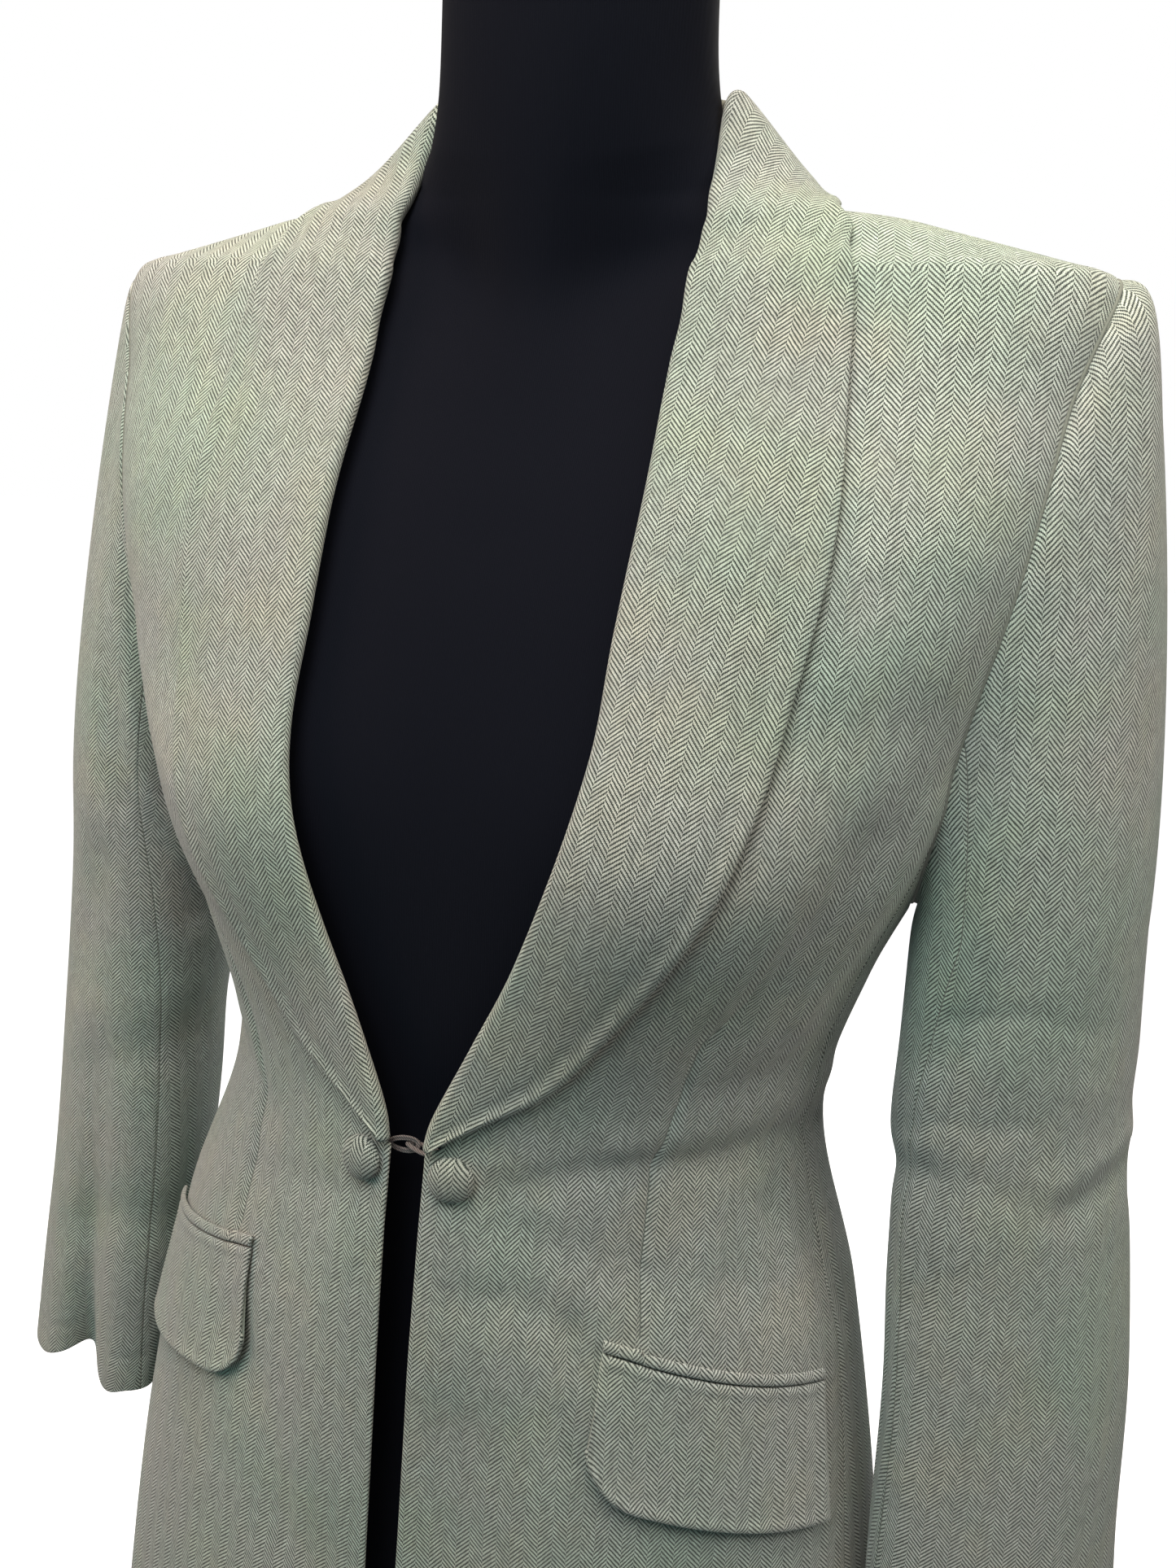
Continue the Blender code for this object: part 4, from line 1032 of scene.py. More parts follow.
# %% Sleeve tables
SLEEVE_COLUMNS = ("place", "x", "y", "z", "half_long", "half_short", "turn", "square")
SLEEVE_RINGS = {
    1: (
        ("biceps", 0.0, 0.2175, 0.014, 0.095, 0.0620, 0.0440, 22.0, 2.0),
        ("above_elbow", 1.0, 0.2215, 0.012, 0.040, 0.0620, 0.0425, 34.0, 1.9),
        ("elbow", 2.0, 0.2255, 0.010, -0.020, 0.0620, 0.0430, 40.0, 1.9),
        ("forearm", 3.0, 0.2375, 0.004, -0.110, 0.0625, 0.0430, 44.0, 1.85),
        ("wrist", 4.0, 0.2425, -0.002, -0.185, 0.0645, 0.0430, 46.0, 1.8),
        ("cuff", 5.0, 0.2465, -0.006, -0.237, 0.0660, 0.0440, 48.0, 1.8),
    ),
    -1: (
        ("biceps", 0.0, 0.2148, 0.014, 0.095, 0.0620, 0.0440, 22.0, 2.0),
        ("above_elbow", 1.0, 0.2205, 0.012, 0.040, 0.0620, 0.0425, 34.0, 1.9),
        ("elbow", 2.0, 0.2245, 0.010, -0.020, 0.0620, 0.0430, 40.0, 1.9),
        ("forearm", 3.0, 0.2310, 0.004, -0.110, 0.0620, 0.0420, 44.0, 1.85),
        ("wrist", 4.0, 0.2370, -0.002, -0.180, 0.0630, 0.0420, 46.0, 1.8),
        ("cuff", 5.0, 0.2405, -0.006, -0.236, 0.0640, 0.0430, 48.0, 1.8),
    ),
}
SLEEVE = {side: Table(SLEEVE_COLUMNS, rows) for side, rows in SLEEVE_RINGS.items()}
# How far each sleeve head swells past its seam: under the arm, more at the top, and the rope.
SLEEVE_HEADS = {1: (0.006, 0.041, 0.008), -1: (0.004, 0.009, 0.001)}
SLEEVE_FOLDS = {1: (0.06, 118.0), -1: (0.42, 132.0)}
SLEEVE_TWIST = math.radians(24.0)
FRONT_SEAM, BACK_SEAM = 70.0, 302.0
SLEEVE_FLAT = (0.053, 0.060)
SLEEVE_EASE = 0.0024
RIDGE = 0.0020
SLEEVE_CREASES = {
    # path of turn in degrees and place down the sleeve, depth, half width
    1: ((((40, 3.02), (78, 2.86), (96, 2.80)), -0.0024, 0.0085),
        (((100, 2.80), (125, 2.72), (150, 2.90)), -0.0006, 0.0060),
        (((72, 2.62), (108, 2.34), (140, 2.30)), -0.0007, 0.0060),
        (((70, 2.24), (122, 1.88), (174, 2.06)), 0.0005, 0.0080),
        (((85, 3.25), (140, 3.02), (207, 3.10)), 0.0005, 0.0080),
        (((88, 3.54), (120, 3.36), (160, 3.50)), -0.0006, 0.0065),
        (((92, 1.60), (130, 1.45), (168, 1.62)), -0.0007, 0.0060),
        (((206, 2.76), (186, 2.81), (166, 2.93)), -0.0026, 0.0065),
        (((206, 2.58), (182, 2.62), (160, 2.72)), 0.0014, 0.0080),
        (((0, 5.60), (359, 5.60)), -0.0005, 0.0022),
        (((96, 0.40), (121, 0.62), (164, 0.76)), -0.0009, 0.0070),
        (((98, 0.12), (116, 0.38), (157, 0.58)), -0.0007, 0.0060),
        (((230, 2.9), (262, 3.05), (296, 3.15)), -0.0030, 0.0140),
        (((225, 2.3), (258, 2.50), (296, 2.62)), -0.0022, 0.0140),
        (((118, 1.0), (108, 1.5), (98, 1.9)), -0.0020, 0.0150),
        (((150, 3.9), (140, 4.6), (136, 5.6)), -0.0018, 0.0180)),
    -1: ((((0, 5.60), (359, 5.60)), -0.0005, 0.0022),
         (((97, 0.10), (82, 0.30), (66, 0.90), (53, 1.30)), -0.0034, 0.0090),
         (((104, 0.70), (84, 1.10), (66, 1.70), (58, 2.10)), -0.0024, 0.0100),
         (((92, 0.60), (76, 1.05), (60, 1.50)), 0.0018, 0.0090),
         (((148, 3.44), (100, 3.22), (52, 3.18)), -0.0012, 0.0090),
         (((140, 3.02), (100, 2.86), (60, 2.80)), 0.0008, 0.0100),
         (((149, 4.52), (111, 4.26), (69, 4.34)), -0.0018, 0.0120),
         (((121, 1.6), (138, 2.2), (151, 2.84)), -0.0018, 0.0130),
         (((230, 2.9), (262, 3.05), (296, 3.15)), -0.0030, 0.0140),
         (((226, 2.4), (258, 2.52), (294, 2.66)), -0.0020, 0.0140)),
}
# How far the hem of the right sleeve is pulled up or down round the cuff.
CUFF_HEM = Table(("turn", "rise"), (
    ("inner", 0.0, 0.0), ("under", 30.0, -0.005), ("corner", 48.0, -0.007), ("seam", 63.0, -0.003),
    ("front", 80.0, 0.001), ("middle", 96.0, 0.003), ("fold", 120.0, 0.002), ("step", 128.0, 0.008),
    ("peak", 137.0, 0.013), ("outer", 150.0, 0.011), ("side", 166.0, 0.005), ("back", 200.0, 0.0)))


def sleeve_fold(turn, place, side):
    """The long fold up from each cuff, deeper on the right sleeve, and the crook of the elbow."""
    depth, centre = SLEEVE_FOLDS[side]
    growth = np.clip((place - 1.6) / 3.4, 0.0, 1.0) ** 1.5
    long_fold = depth * growth * bell(np.mod(turn, 2 * math.pi), math.radians(centre), 0.26)
    crook = 0.07 * bell(place, 2.15, 0.35) * bell(turn, math.radians(30), 0.8)
    return long_fold + crook


def sleeve_creases(turn, down, side):
    return crease_height(SLEEVE_CREASES[side], np.mod(turn, 2 * math.pi), down, *SLEEVE_FLAT)


def carried_turn(turn):
    """Turn on the ring that a turn of the armhole runs down to: the sleeve twists a little."""
    return turn + SLEEVE_TWIST * (1 + np.cos(turn)) / 2


def sleeve_ring(turn, place, side):
    """Point of a ring below the cap: turn 0 faces the body, 90 degrees is the front edge."""
    row = SLEEVE[side].read(place)
    carried = carried_turn(turn)
    swing = np.radians(row["turn"])
    power = row["square"]
    inner, forward = np.cos(carried), np.sin(carried)
    reach = (np.abs(inner) ** power + np.abs(forward) ** power) ** (-1 / power)
    reach = reach * (1 - sleeve_fold(carried, place, side))
    reach = reach + sleeve_creases(carried, place + 1, side) / SLEEVE_FLAT[0]
    long = row["half_long"] * forward * reach
    short = row["half_short"] * inner * reach
    x = row["x"] - np.sin(swing) * long - np.cos(swing) * short
    y = row["y"] - np.cos(swing) * long + np.sin(swing) * short
    rise = 0.0
    if side < 0:
        rise = CUFF_HEM.read(np.degrees(carried) % 360)["rise"]
        rise = rise * np.clip(place - 4.0, 0.0, 1.0) ** 2
    return np.stack((x, y, WAIST_Z + row["z"] + rise), -1)


def cap_creases(turn, share, end, side):
    """Creases of the sleeve's head; those at the biceps are in the ring below already."""
    row = SLEEVE[side].read(0.0)
    out = unit((end - (row["x"], row["y"], 0.0)) * (1.0, 1.0, 0.0))
    carried = carried_turn(turn)
    below = (3 - 2 * share) * share ** 2 * sleeve_creases(carried, np.ones_like(share), side)
    crease = sleeve_creases(carried, share, side) - below
    return out * (crease * np.clip(share / 0.10, 0.0, 1.0))[..., None]


def sleeve_cap(turn, share, side):
    """The head of a sleeve, from the armhole to the biceps."""
    angle, level = armhole(turn, SEAM_GAP + 0.0002)
    start = skin(side * angle, level) * (side, 1.0, 1.0)
    end = sleeve_ring(turn, np.zeros_like(turn), side)
    top = (1 - np.cos(turn)) / 2
    under, crown, rope = SLEEVE_HEADS[side]
    push = under + crown * top
    leaving = np.stack((push, -0.20 * push * np.sin(turn), 0.06 * push), -1) * top[..., None]
    leaving = leaving + (end - start) * (1 - top[..., None])
    reach = np.linalg.norm(end - start, axis=-1)
    drop = np.stack((0.04 * reach, 0 * reach, -1.05 * reach), -1)
    swell = rope * top ** 2 * (1 - np.exp(-share / 0.07)) * (1 - share) ** 1.5
    ridge = RIDGE * np.clip((top - 0.2) / 0.25, 0, 1)
    ridge = ridge * (np.exp(-share / 0.14) - np.exp(-share / 0.022))
    cap = hermite(start, leaving, end, drop, share[..., None])
    cap = cap + np.stack((0.4 * ridge, -0.8 * ridge * np.sin(turn), 0.2 * ridge), -1)
    cap = cap + cap_creases(turn, share, end, side)
    return cap + np.stack((swell, -0.25 * swell * np.sin(turn), 0.10 * swell), -1)


def clear_of_body(points, amount):
    """Hold a sleeve's points just outside the body's side, where the sleeve hangs against it."""
    x, y, level = points[..., 0], points[..., 1], points[..., 2] - WAIST_Z
    ring = BODY.read(np.clip(level, HEM_LEVEL, 0.24))
    depth = np.where(y < ring["centre_y"], ring["front"], ring["back"])
    away = np.clip(np.abs(y - ring["centre_y"]) / depth, 0.0, 1.0)
    side = ring["half_width"] * (1 - away ** ring["square"]) ** (1 / ring["square"])
    limit = side + SLEEVE_EASE * amount
    soft = 0.0020 * amount + 0.0001
    eased = limit + soft * np.logaddexp(0.0, (x - limit) / soft)
    weight = np.clip((0.22 - level) / 0.06, 0.0, 1.0) * np.clip(2.5 - 2.5 * away, 0.0, 1.0)
    return np.stack((x + (eased - x) * weight, y, points[..., 2]), -1)


def sleeve_skin(turn, down, side):
    """Point on a sleeve's outer face; down is 0 at the armhole, 1 at the biceps, 6 at the cuff."""
    turn, down = np.broadcast_arrays(turn, down)
    arm = sleeve_ring(turn, np.maximum(down - 1.0, 0.0), side)
    cap = sleeve_cap(turn, np.clip(down, 0.0, 1.0), side)
    points = np.where((down < 1.0)[..., None], cap, arm)
    return clear_of_body(points, np.clip(3 * down, 0.0, 1.0))


# %% Sleeve pieces
SLEEVE_RADIUS, CAP_LENGTH, ARM_LENGTH = 0.05, 0.12, 0.33
HEM_DOWN = 5.5


def sleeve_piece(name, side, first, last, columns, grain):
    """One of a sleeve's two pieces, between its seams."""
    gap = SEAM_GAP / 2 / SLEEVE_RADIUS
    share = edged(SLEEVE_RADIUS * math.radians(last - first), columns)
    turn = math.radians(first) + gap + (math.radians(last - first) - 2 * gap) * share
    cap = np.array(RIM_STEPS) / CAP_LENGTH
    cap = np.concatenate((cap, cap[-1] + (1 - cap[-1]) * np.linspace(0, 1, 44)[1:] ** 1.35))
    down = np.concatenate((cap, 1 + 5 * edged(ARM_LENGTH, 120, first=False)[1:]))
    points = sleeve_skin(turn[None, :], down[:, None], side) * (side, 1.0, 1.0)
    column = int(np.argmin(np.abs(turn - math.radians(grain))))
    weave = laid_flat(points, ((len(down) - 1, column), (len(cap) - 1, column)))
    hem = np.broadcast_to(down[:, None] > HEM_DOWN, points.shape[:2])
    return wall(name, points, weave, -side, COAT, inside=hem)


def sleeve_top(name, side):
    return sleeve_piece(name, side, FRONT_SEAM, BACK_SEAM, 124, 180)


def sleeve_under(name, side):
    return sleeve_piece(name, side, BACK_SEAM - 360, FRONT_SEAM, 66, 8)


make_pair(sleeve_top=sleeve_top, sleeve_under=sleeve_under)
print("sleeve faces:", len(panels["sleeve_top_left"].data.polygons))

# %% [markdown]
# ## Pocket flaps and welts
#
# Each slanting pocket has a flap whose front corner is rounded, and a narrow welt above it. The
# flap is pressed, with a bead along its edge, and stands off the coat a little at its lower edge.

# %% Flaps and welts
FLAP_FRONT, FLAP_BACK = math.radians(37.4), math.radians(75.0)
FLAP_LEVEL, FLAP_SLOPE, FLAP_DROP = -0.077, 0.032, 0.060
FLAP_CORNER, FLAP_CORNER_RISE = 0.20, 0.34
FLAP_LEAN, FLAP_FLARE = math.radians(1.8), 0.0025
BEAD_HEIGHT, BEAD_PLACE, BEAD_WIDTH = 0.0007, 0.0026, 0.0016
WELT_WIDTH, WELT_CROWN = 0.0055, 0.0009
LAID_GAP = 0.0005


def pocket_flap(name, side):
    along = edged(0.10, 62)[None, :]
    down = edged(0.060, 34)[:, None]
    angle = FLAP_FRONT + (FLAP_BACK - FLAP_FRONT) * along - FLAP_LEAN * down
    corner = np.clip(1 - along / FLAP_CORNER, 0.0, 1.0)
    corner = FLAP_CORNER_RISE * (1 - np.sqrt(1 - corner ** 2))
    level = FLAP_LEVEL - FLAP_SLOPE * along - FLAP_DROP * down * (1 - corner)
    lift = LAID_GAP + CLOTH + FLAP_FLARE * down ** 1.5 + 0 * along
    near = rim_distance(skin(side * angle, level))
    lift = lift + BEAD_HEIGHT * bell(near, BEAD_PLACE, BEAD_WIDTH)
    return add_panel(name, side, angle, level, FRONT_GRAIN, lift=lift[..., None],
                     shift=(0.0, 0.0007), down=True)


def pocket_welt(name, side):
    along = edged(0.10, 50)[None, :]
    up = np.linspace(0.0, 1.0, 9)[:, None]
    angle = FLAP_FRONT + (FLAP_BACK - FLAP_FRONT) * along + 0 * up
    level = FLAP_LEVEL - FLAP_SLOPE * along + SEAM_GAP + WELT_WIDTH * up
    lift = LAID_GAP + CLOTH + WELT_CROWN * (1 - (2 * up - 1) ** 2) + 0 * angle
    return add_panel(name, side, angle, level, FRONT_GRAIN, lift=lift[..., None],
                     shift=(0.0028, 0.0))


make_pair(pocket_flap=pocket_flap, pocket_welt=pocket_welt)
print("flap faces:", len(panels["pocket_flap_left"].data.polygons))

# %% [markdown]
# ## Covered buttons
#
# A covered button is a dome with a disc of the coat's cloth drawn over it, so it shows the same
# herringbone at the same scale, in darker colours that paint shade on the buttons. A profile
# turned about the button's axis makes it; the cloth coordinates lie flat across the dome.

# %% Buttons
BUTTON_RADIUS, BUTTON_HEIGHT = 0.0092, 0.0060
BUTTON_ANGLE, BUTTON_LEVEL = math.radians(8.6), -0.0075
BUTTON_WEAVE = (0.0040, 0.001)
BUTTON_PROFILE = ((0.0, 1.0), (0.15, 0.992), (0.30, 0.965), (0.45, 0.915), (0.60, 0.84),
                  (0.74, 0.74), (0.86, 0.60), (0.94, 0.46), (0.985, 0.32), (1.0, 0.22),
                  (0.975, 0.11), (0.90, 0.03), (0.75, 0.0), (0.40, 0.0), (0.0, 0.0))


def covered_button(name, side):
    facing = normals_of(skin, np.array(side * BUTTON_ANGLE), np.array(BUTTON_LEVEL))
    foot = skin(side * BUTTON_ANGLE, BUTTON_LEVEL) + facing * SEAM_GAP * 1.5
    right = unit(np.cross((0, 0, 1.0), facing))
    up = np.cross(facing, right)
    turn = np.linspace(0, 2 * math.pi, 65)[:-1][None, :]
    radius = np.array([r for r, _ in BUTTON_PROFILE[1:-1]])[:, None] * BUTTON_RADIUS
    height = np.array([h for _, h in BUTTON_PROFILE[1:-1]])[:, None] * BUTTON_HEIGHT
    pucker = 1 - 0.02 * (height < 0.2 * BUTTON_HEIGHT) * np.cos(11 * turn)
    x, y = radius * pucker * np.cos(turn), radius * pucker * np.sin(turn)
    grid = np.stack((x, y, height + 0 * x), -1).reshape(-1, 3)
    ends = np.array(((0, 0, BUTTON_HEIGHT), (0, 0, 0)))
    local = np.concatenate((grid, ends))
    count, columns = len(grid), turn.size
    ring = grid_faces(len(radius), columns, wrap=True)[:, ::-1]
    k = np.arange(columns)
    follow = (k + 1) % columns
    cap = np.stack((k, follow, np.full(columns, count)), 1)
    base = np.stack((follow, k, np.full(columns, 1 + count)), 1)
    base[:, :2] += count - columns
    vertices = foot + local @ np.array((right, up, facing))
    faces = [tuple(f) for f in ring] + [tuple(f) for f in cap] + [tuple(f) for f in base]
    weave = local[:, :2] * (side, 1.0) + BUTTON_WEAVE
    return add_mesh(name, vertices, np.array(faces, dtype=object), weave, [button_shaded_finish])


# The buttons' cloth is a darker copy of the coat's herringbone. This paints shade on the buttons.
button_shaded_finish = herringbone("button_wool_painted_shade", (0.47, 0.50, 0.49), (0.028, 0.042, 0.038))
make_pair(covered_button=covered_button)
print("buttons:", 2 * BUTTON_RADIUS * 1000, "mm across")

# %% [markdown]
# ## The thread link
#
# The fronts are held by two loops of doubled grey cord, one from each front's edge, caught
# through each other. A path is drawn for each loop, and Geometry Nodes sweep two thin cords
# along it, side by side.

# %% Thread and loops
LOOP_THREAD, CORD_RADIUS, CORD_OFFSET = 0.0008, 0.00056, 0.00050
LOOP_HALF_LENGTH, LOOP_HALF_WIDTH = 0.0062, 0.0027


def cord_finish():
    values = {"Roughness": 0.75, "Specular IOR Level": 0.3, "Sheen Weight": 0.2}
    material, shader, place = new_finish("grey_cord", values)
    settings = {"wave_type": "BANDS", "bands_direction": "DIAGONAL"}
    twist = {"Vector": place, "Scale": 520.0, "Distortion": 1.5, "Detail": 1.0}
    lay = place.node("ShaderNodeTexWave", settings, twist, 1)
    mask = lay * 0.7 + noise(place, 3000.0) * 0.3
    paint(shader, mix_colour(mask, (0.050, 0.042, 0.044), (0.27, 0.24, 0.24)), mask, 0.0003, 0.7)
    return material


def new_group(name, sizes):
    """Node tree that takes a mesh, these sizes and a finish: the signals of what it is given."""
    group = bpy.data.node_groups.new(name, "GeometryNodeTree")
    kinds = {"Geometry": "Geometry", **dict.fromkeys(sizes, "Float"), "Finish": "Material"}
    for key, kind in kinds.items():
        item = group.interface.new_socket(name=key, in_out="INPUT", socket_type="NodeSocket" + kind)
        if key in sizes:
            item.default_value = sizes[key]
    group.interface.new_socket(name="Geometry", in_out="OUTPUT", socket_type="NodeSocketGeometry")
    entry = group.nodes.new("NodeGroupInput")
    return {key: Signal(group, entry.outputs[key]) for key in kinds}


def close_group(shape, finish):
    """Hand a shape out of its node tree as plain mesh with its finish."""
    real = shape.node("GeometryNodeRealizeInstances", {}, {0: shape})
    painted = real.node("GeometryNodeSetMaterial", {}, {"Geometry": real, "Material": finish})
    plug(shape.tree, shape.tree.nodes.new("NodeGroupOutput"), 0, painted)
    return shape.tree


def sweep_group():
    """Node tree that sweeps a round cord along the edges of a mesh."""
    given = new_group("cord_sweep", {"Radius": 0.0004})
    mesh, radius = given["Geometry"], given["Radius"]
    path = mesh.node("GeometryNodeMeshToCurve", {}, {0: mesh})
    sockets = {"Resolution": 10, "Radius": radius}
    ring = radius.node("GeometryNodeCurvePrimitiveCircle", {}, sockets)
    tube = path.node("GeometryNodeCurveToMesh", {}, {"Curve": path, "Profile Curve": ring})
    return close_group(tube, given["Finish"])


def grown(name, vertices, edges, group, values):
    """Plain mesh that a node tree makes from a few points and edges."""
    mesh = bpy.data.meshes.new(name + "_path")
    mesh.from_pydata([tuple(v) for v in vertices], edges, [])
    thing = add_thing(name, mesh)
    modifier = thing.modifiers.new("grow", "NODES")
    modifier.node_group = group
    for item in group.interface.items_tree:
        if item.item_type == "SOCKET" and item.in_out == "INPUT" and item.name in values:
            modifier[item.identifier] = values[item.name]
    bpy.context.view_layer.update()
    result = bpy.data.meshes.new_from_object(
        thing.evaluated_get(bpy.context.evaluated_depsgraph_get()))
    thing.modifiers.clear()
    thing.data = result
    thing.data.name = name
    thing.data.shade_smooth()
    return thing


def link_path(side, offset, count=72):
    """Closed path of one cord of a loop: long, slightly slack, and twisted on itself."""
    turn = np.linspace(0, 2 * math.pi, count + 1)[:-1]
    depth = float(skin(0.0, 0.0)[1]) + CLOTH + LOOP_THREAD + LOOP_HALF_WIDTH + 0.0006
    half_width = LOOP_HALF_WIDTH + offset
    across = half_width * np.sin(turn)
    along = side * (LOOP_HALF_LENGTH - 0.0022) + (LOOP_HALF_LENGTH + offset) * np.cos(turn)
    sag = -0.0008 * np.cos(turn) * side - 0.0010
    forward = across if side > 0 else 0.0004 * np.sin(2 * turn)
    upward = 0.0004 * np.sin(2 * turn) if side > 0 else across
    return np.stack((along, depth + forward, WAIST_Z + upward + sag), -1)


cord_grey = cord_finish()
sweep = sweep_group()
for word, side in SIDES:
    inner, outer = link_path(side, -CORD_OFFSET), link_path(side, CORD_OFFSET)
    count = len(inner)
    ring = [(i, (i + 1) % count) for i in range(count)]
    edges = ring + [(a + count, b + count) for a, b in ring]
    panels["link_loop_" + word] = grown(
        "link_loop_" + word + "_cord", np.concatenate((inner, outer)), edges, sweep,
        {"Radius": CORD_RADIUS, "Finish": cord_grey})
print("cord faces in a loop:", len(panels["link_loop_left"].data.polygons))

# %% [markdown]
# ## The dress form and its stand
#
# The form is a smooth body without limbs, covered in black jersey. It only shows at the neck and
# between the fronts. The pole, its foot and the base are turned metal in a satin black, so the
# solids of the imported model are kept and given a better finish.

# %% Dress form
FORM_BOTTOM_LEVEL = -0.235
FORM_CLEARANCE = 0.0005
EASING_ROUNDS = 60
NECK_RINGS = (
    # height, radius, centre_y, tilt
    (0.392, 0.0580, 0.004, 0.020),
    (0.408, 0.0555, 0.000, 0.016),
    (0.430, 0.0542, -0.004, 0.010),
    (0.470, 0.0535, -0.007, 0.003),
    (0.524, 0.0535, -0.008, 0.000),
    (0.5275, 0.0525, -0.008, 0.000),
    (0.5295, 0.0505, -0.008, 0.000),
    (0.530, 0.0480, -0.008, 0.000),
)


def form_inset(angle, level):
    """Room between the coat's skin and the form: none to spare along the shoulders."""
    body = np.interp(level, (-0.235, -0.05, 0.10, 0.24, 0.35), (0.018, 0.008, 0.006, 0.005, 0.0035))
    ridge = bell(np.abs(angle), math.pi / 2, 0.20) * np.clip((level - 0.30) / 0.05, 0.0, 1.0)
    return CLOTH + FORM_CLEARANCE + body * (1 - ridge)


THROAT = Table(("level", "forward", "lift"), (
    ("chest", 0.240, 0.0, 0.0), ("upper", 0.295, 0.006, -0.002), ("pit", 0.345, 0.015, -0.004),
    ("throat", 0.415, 0.0207, 0.007), ("neck", 0.482, 0.0170, 0.012)))


def form_body(angle, level):
    bust = 0.010 * bell(np.abs(angle), math.radians(38), 0.40) * bell(level, 0.125, 0.060)
    throat = THROAT.read(level)
    front = bell(angle, 0.0, 0.52) * (level > 0.24)
    points = ring_point(angle, level, bust + throat["forward"] * front)
    points[..., 2] += throat["lift"] * front
    return points


def neck_ring(angle, height, radius, centre_y, tilt):
    """A level ring of the neck, its front lower than its back by the tilt."""
    z = WAIST_Z + height - tilt * np.cos(angle)
    return np.stack((radius * np.sin(angle), centre_y - radius * np.cos(angle), z), -1)


def neck_between(angle, share):
    """Rings of the neck, read smoothly through the table."""
    rows = Table(("at", "height", "radius", "centre_y", "tilt"),
                 [("ring", i) + row for i, row in enumerate(NECK_RINGS)])
    ring = rows.read(share)
    return neck_ring(angle, ring["height"], ring["radius"], ring["centre_y"], ring["tilt"])


def dress_form(finish):
    angle = np.linspace(0.0, 2 * math.pi, 145)[:-1]
    signed = np.where(angle > math.pi, angle - 2 * math.pi, angle)
    levels = np.linspace(FORM_BOTTOM_LEVEL, NECK_LEVEL, 90)
    rings = []
    for level in levels:
        inset = form_inset(signed, level)[:, None]
        inwards = normals_of(form_body, signed, level + 0 * signed) * inset
        rings.append(form_body(signed, level + 0 * signed) - inwards)
    foot = (0.0, 0.0, WAIST_Z + FORM_BOTTOM_LEVEL - 0.008)
    low = [rings[0] * (s, s, 0.0) + np.array(foot) + (0, 0, drop)
           for s, drop in ((0.93, 0.0), (0.965, 0.0010), (0.988, 0.0040))]
    rings = np.array(low + rings + [neck_between(signed, s) for s in np.linspace(0, 7, 36)])
    eased = rings
    for _ in range(EASING_ROUNDS):
        between = (eased[:-2] + 2 * eased[1:-1] + eased[2:]) / 4
        eased = np.concatenate((eased[:1], between, eased[-1:]))
    height = rings[:, :, 2].mean(1) - WAIST_Z
    share = np.interp(height, (0.24, 0.31, 0.44, 0.50), (0, 1, 1, 0))[:, None]
    share = (share * bell(signed, 0.0, 1.1))[..., None]
    rings = list(rings + (eased - rings) * share)
    columns = len(angle)
    vertices = np.concatenate(rings + [rings[0].mean(0)[None], rings[-1].mean(0)[None]])
    last = len(vertices)
    k = np.arange(columns)
    follow = (k + 1) % columns
    top = last - 2 - columns
    faces = [tuple(f) for f in grid_faces(len(rings), columns, wrap=True)]
    faces += list(zip(np.full(columns, last - 2), follow, k))
    faces += list(zip(np.full(columns, last - 1), top + k, top + follow))
    return add_mesh("dress_form_cover", vertices, np.array(faces, dtype=object), None, (finish,))


def jersey():
    values = {"Roughness": 0.85, "Specular IOR Level": 0.08, "Sheen Weight": 0.02,
              "Sheen Roughness": 0.4}
    material, shader, place = new_finish("black_jersey", values)
    ribs = {"Vector": place, "Scale": 420.0, "Distortion": 2.0, "Detail": 1.0}
    ribs = place.node("ShaderNodeTexWave", {"bands_direction": "X"}, ribs, 1)
    mask = ribs * 0.5 + noise(place, 1800.0) * 0.5
    colour = mix_colour(mask, (0.0016, 0.0024, 0.0058), (0.0045, 0.0060, 0.0120))
    paint(shader, colour, mask, 0.00015, 0.4)
    return material


def black_metal():
    values = {"Metallic": 0.85, "Roughness": 0.35, "Coat Weight": 0.15}
    material, shader, place = new_finish("satin_black_metal", values)
    worn = noise(place, 60.0, 4.0, 0.6)
    colour = mix_colour(worn.step(0.4, 0.75), (0.016, 0.016, 0.018), (0.040, 0.040, 0.043))
    paint(shader, colour, noise(place, 900.0), 0.00010, 0.15, 0.30 + worn * 0.22)
    return material


form = dress_form(jersey())
metal = black_metal()
for node in ("stand_base", "stand_foot", "stand_pole"):
    for slot in frame["nodes"][node].material_slots:
        slot.material = metal
print("form faces:", len(form.data.polygons))

# %% [markdown]
# ## Stitches
#
# Little sewing shows on a tailored coat. A fold of cloth fills the ditch along each seam and each
# armhole, and a row of short stitches runs beside the sleeves' seams. The folds in the seams are
# tinted darker than the cloth, as painted shade in their ditches. The folds are swept like the
# cords, and Geometry Nodes put one small stitch on each short edge of a path.

# %% Stitches along paths
SEAM_DEPTH, DART_DEPTH, HOLE_DEPTH = 0.00080, 0.00036, 0.00030
SEAM_FOLD_RADIUS, HOLE_FOLD_RADIUS = 0.00050, 0.00085
STITCH_LENGTH, STITCH_THICKNESS, STITCH_SPACE, STITCH_LIFT = 0.0013, 0.00034, 0.0007, 0.00003
# Turn on the sleeve and start of each row of stitches, and where both end above the cuff.
STITCH_ROWS, STITCH_END = ((71.6, 3.0), (300.0, 1.3)), 5.72
DART_ENDS = (-0.079, 0.064)


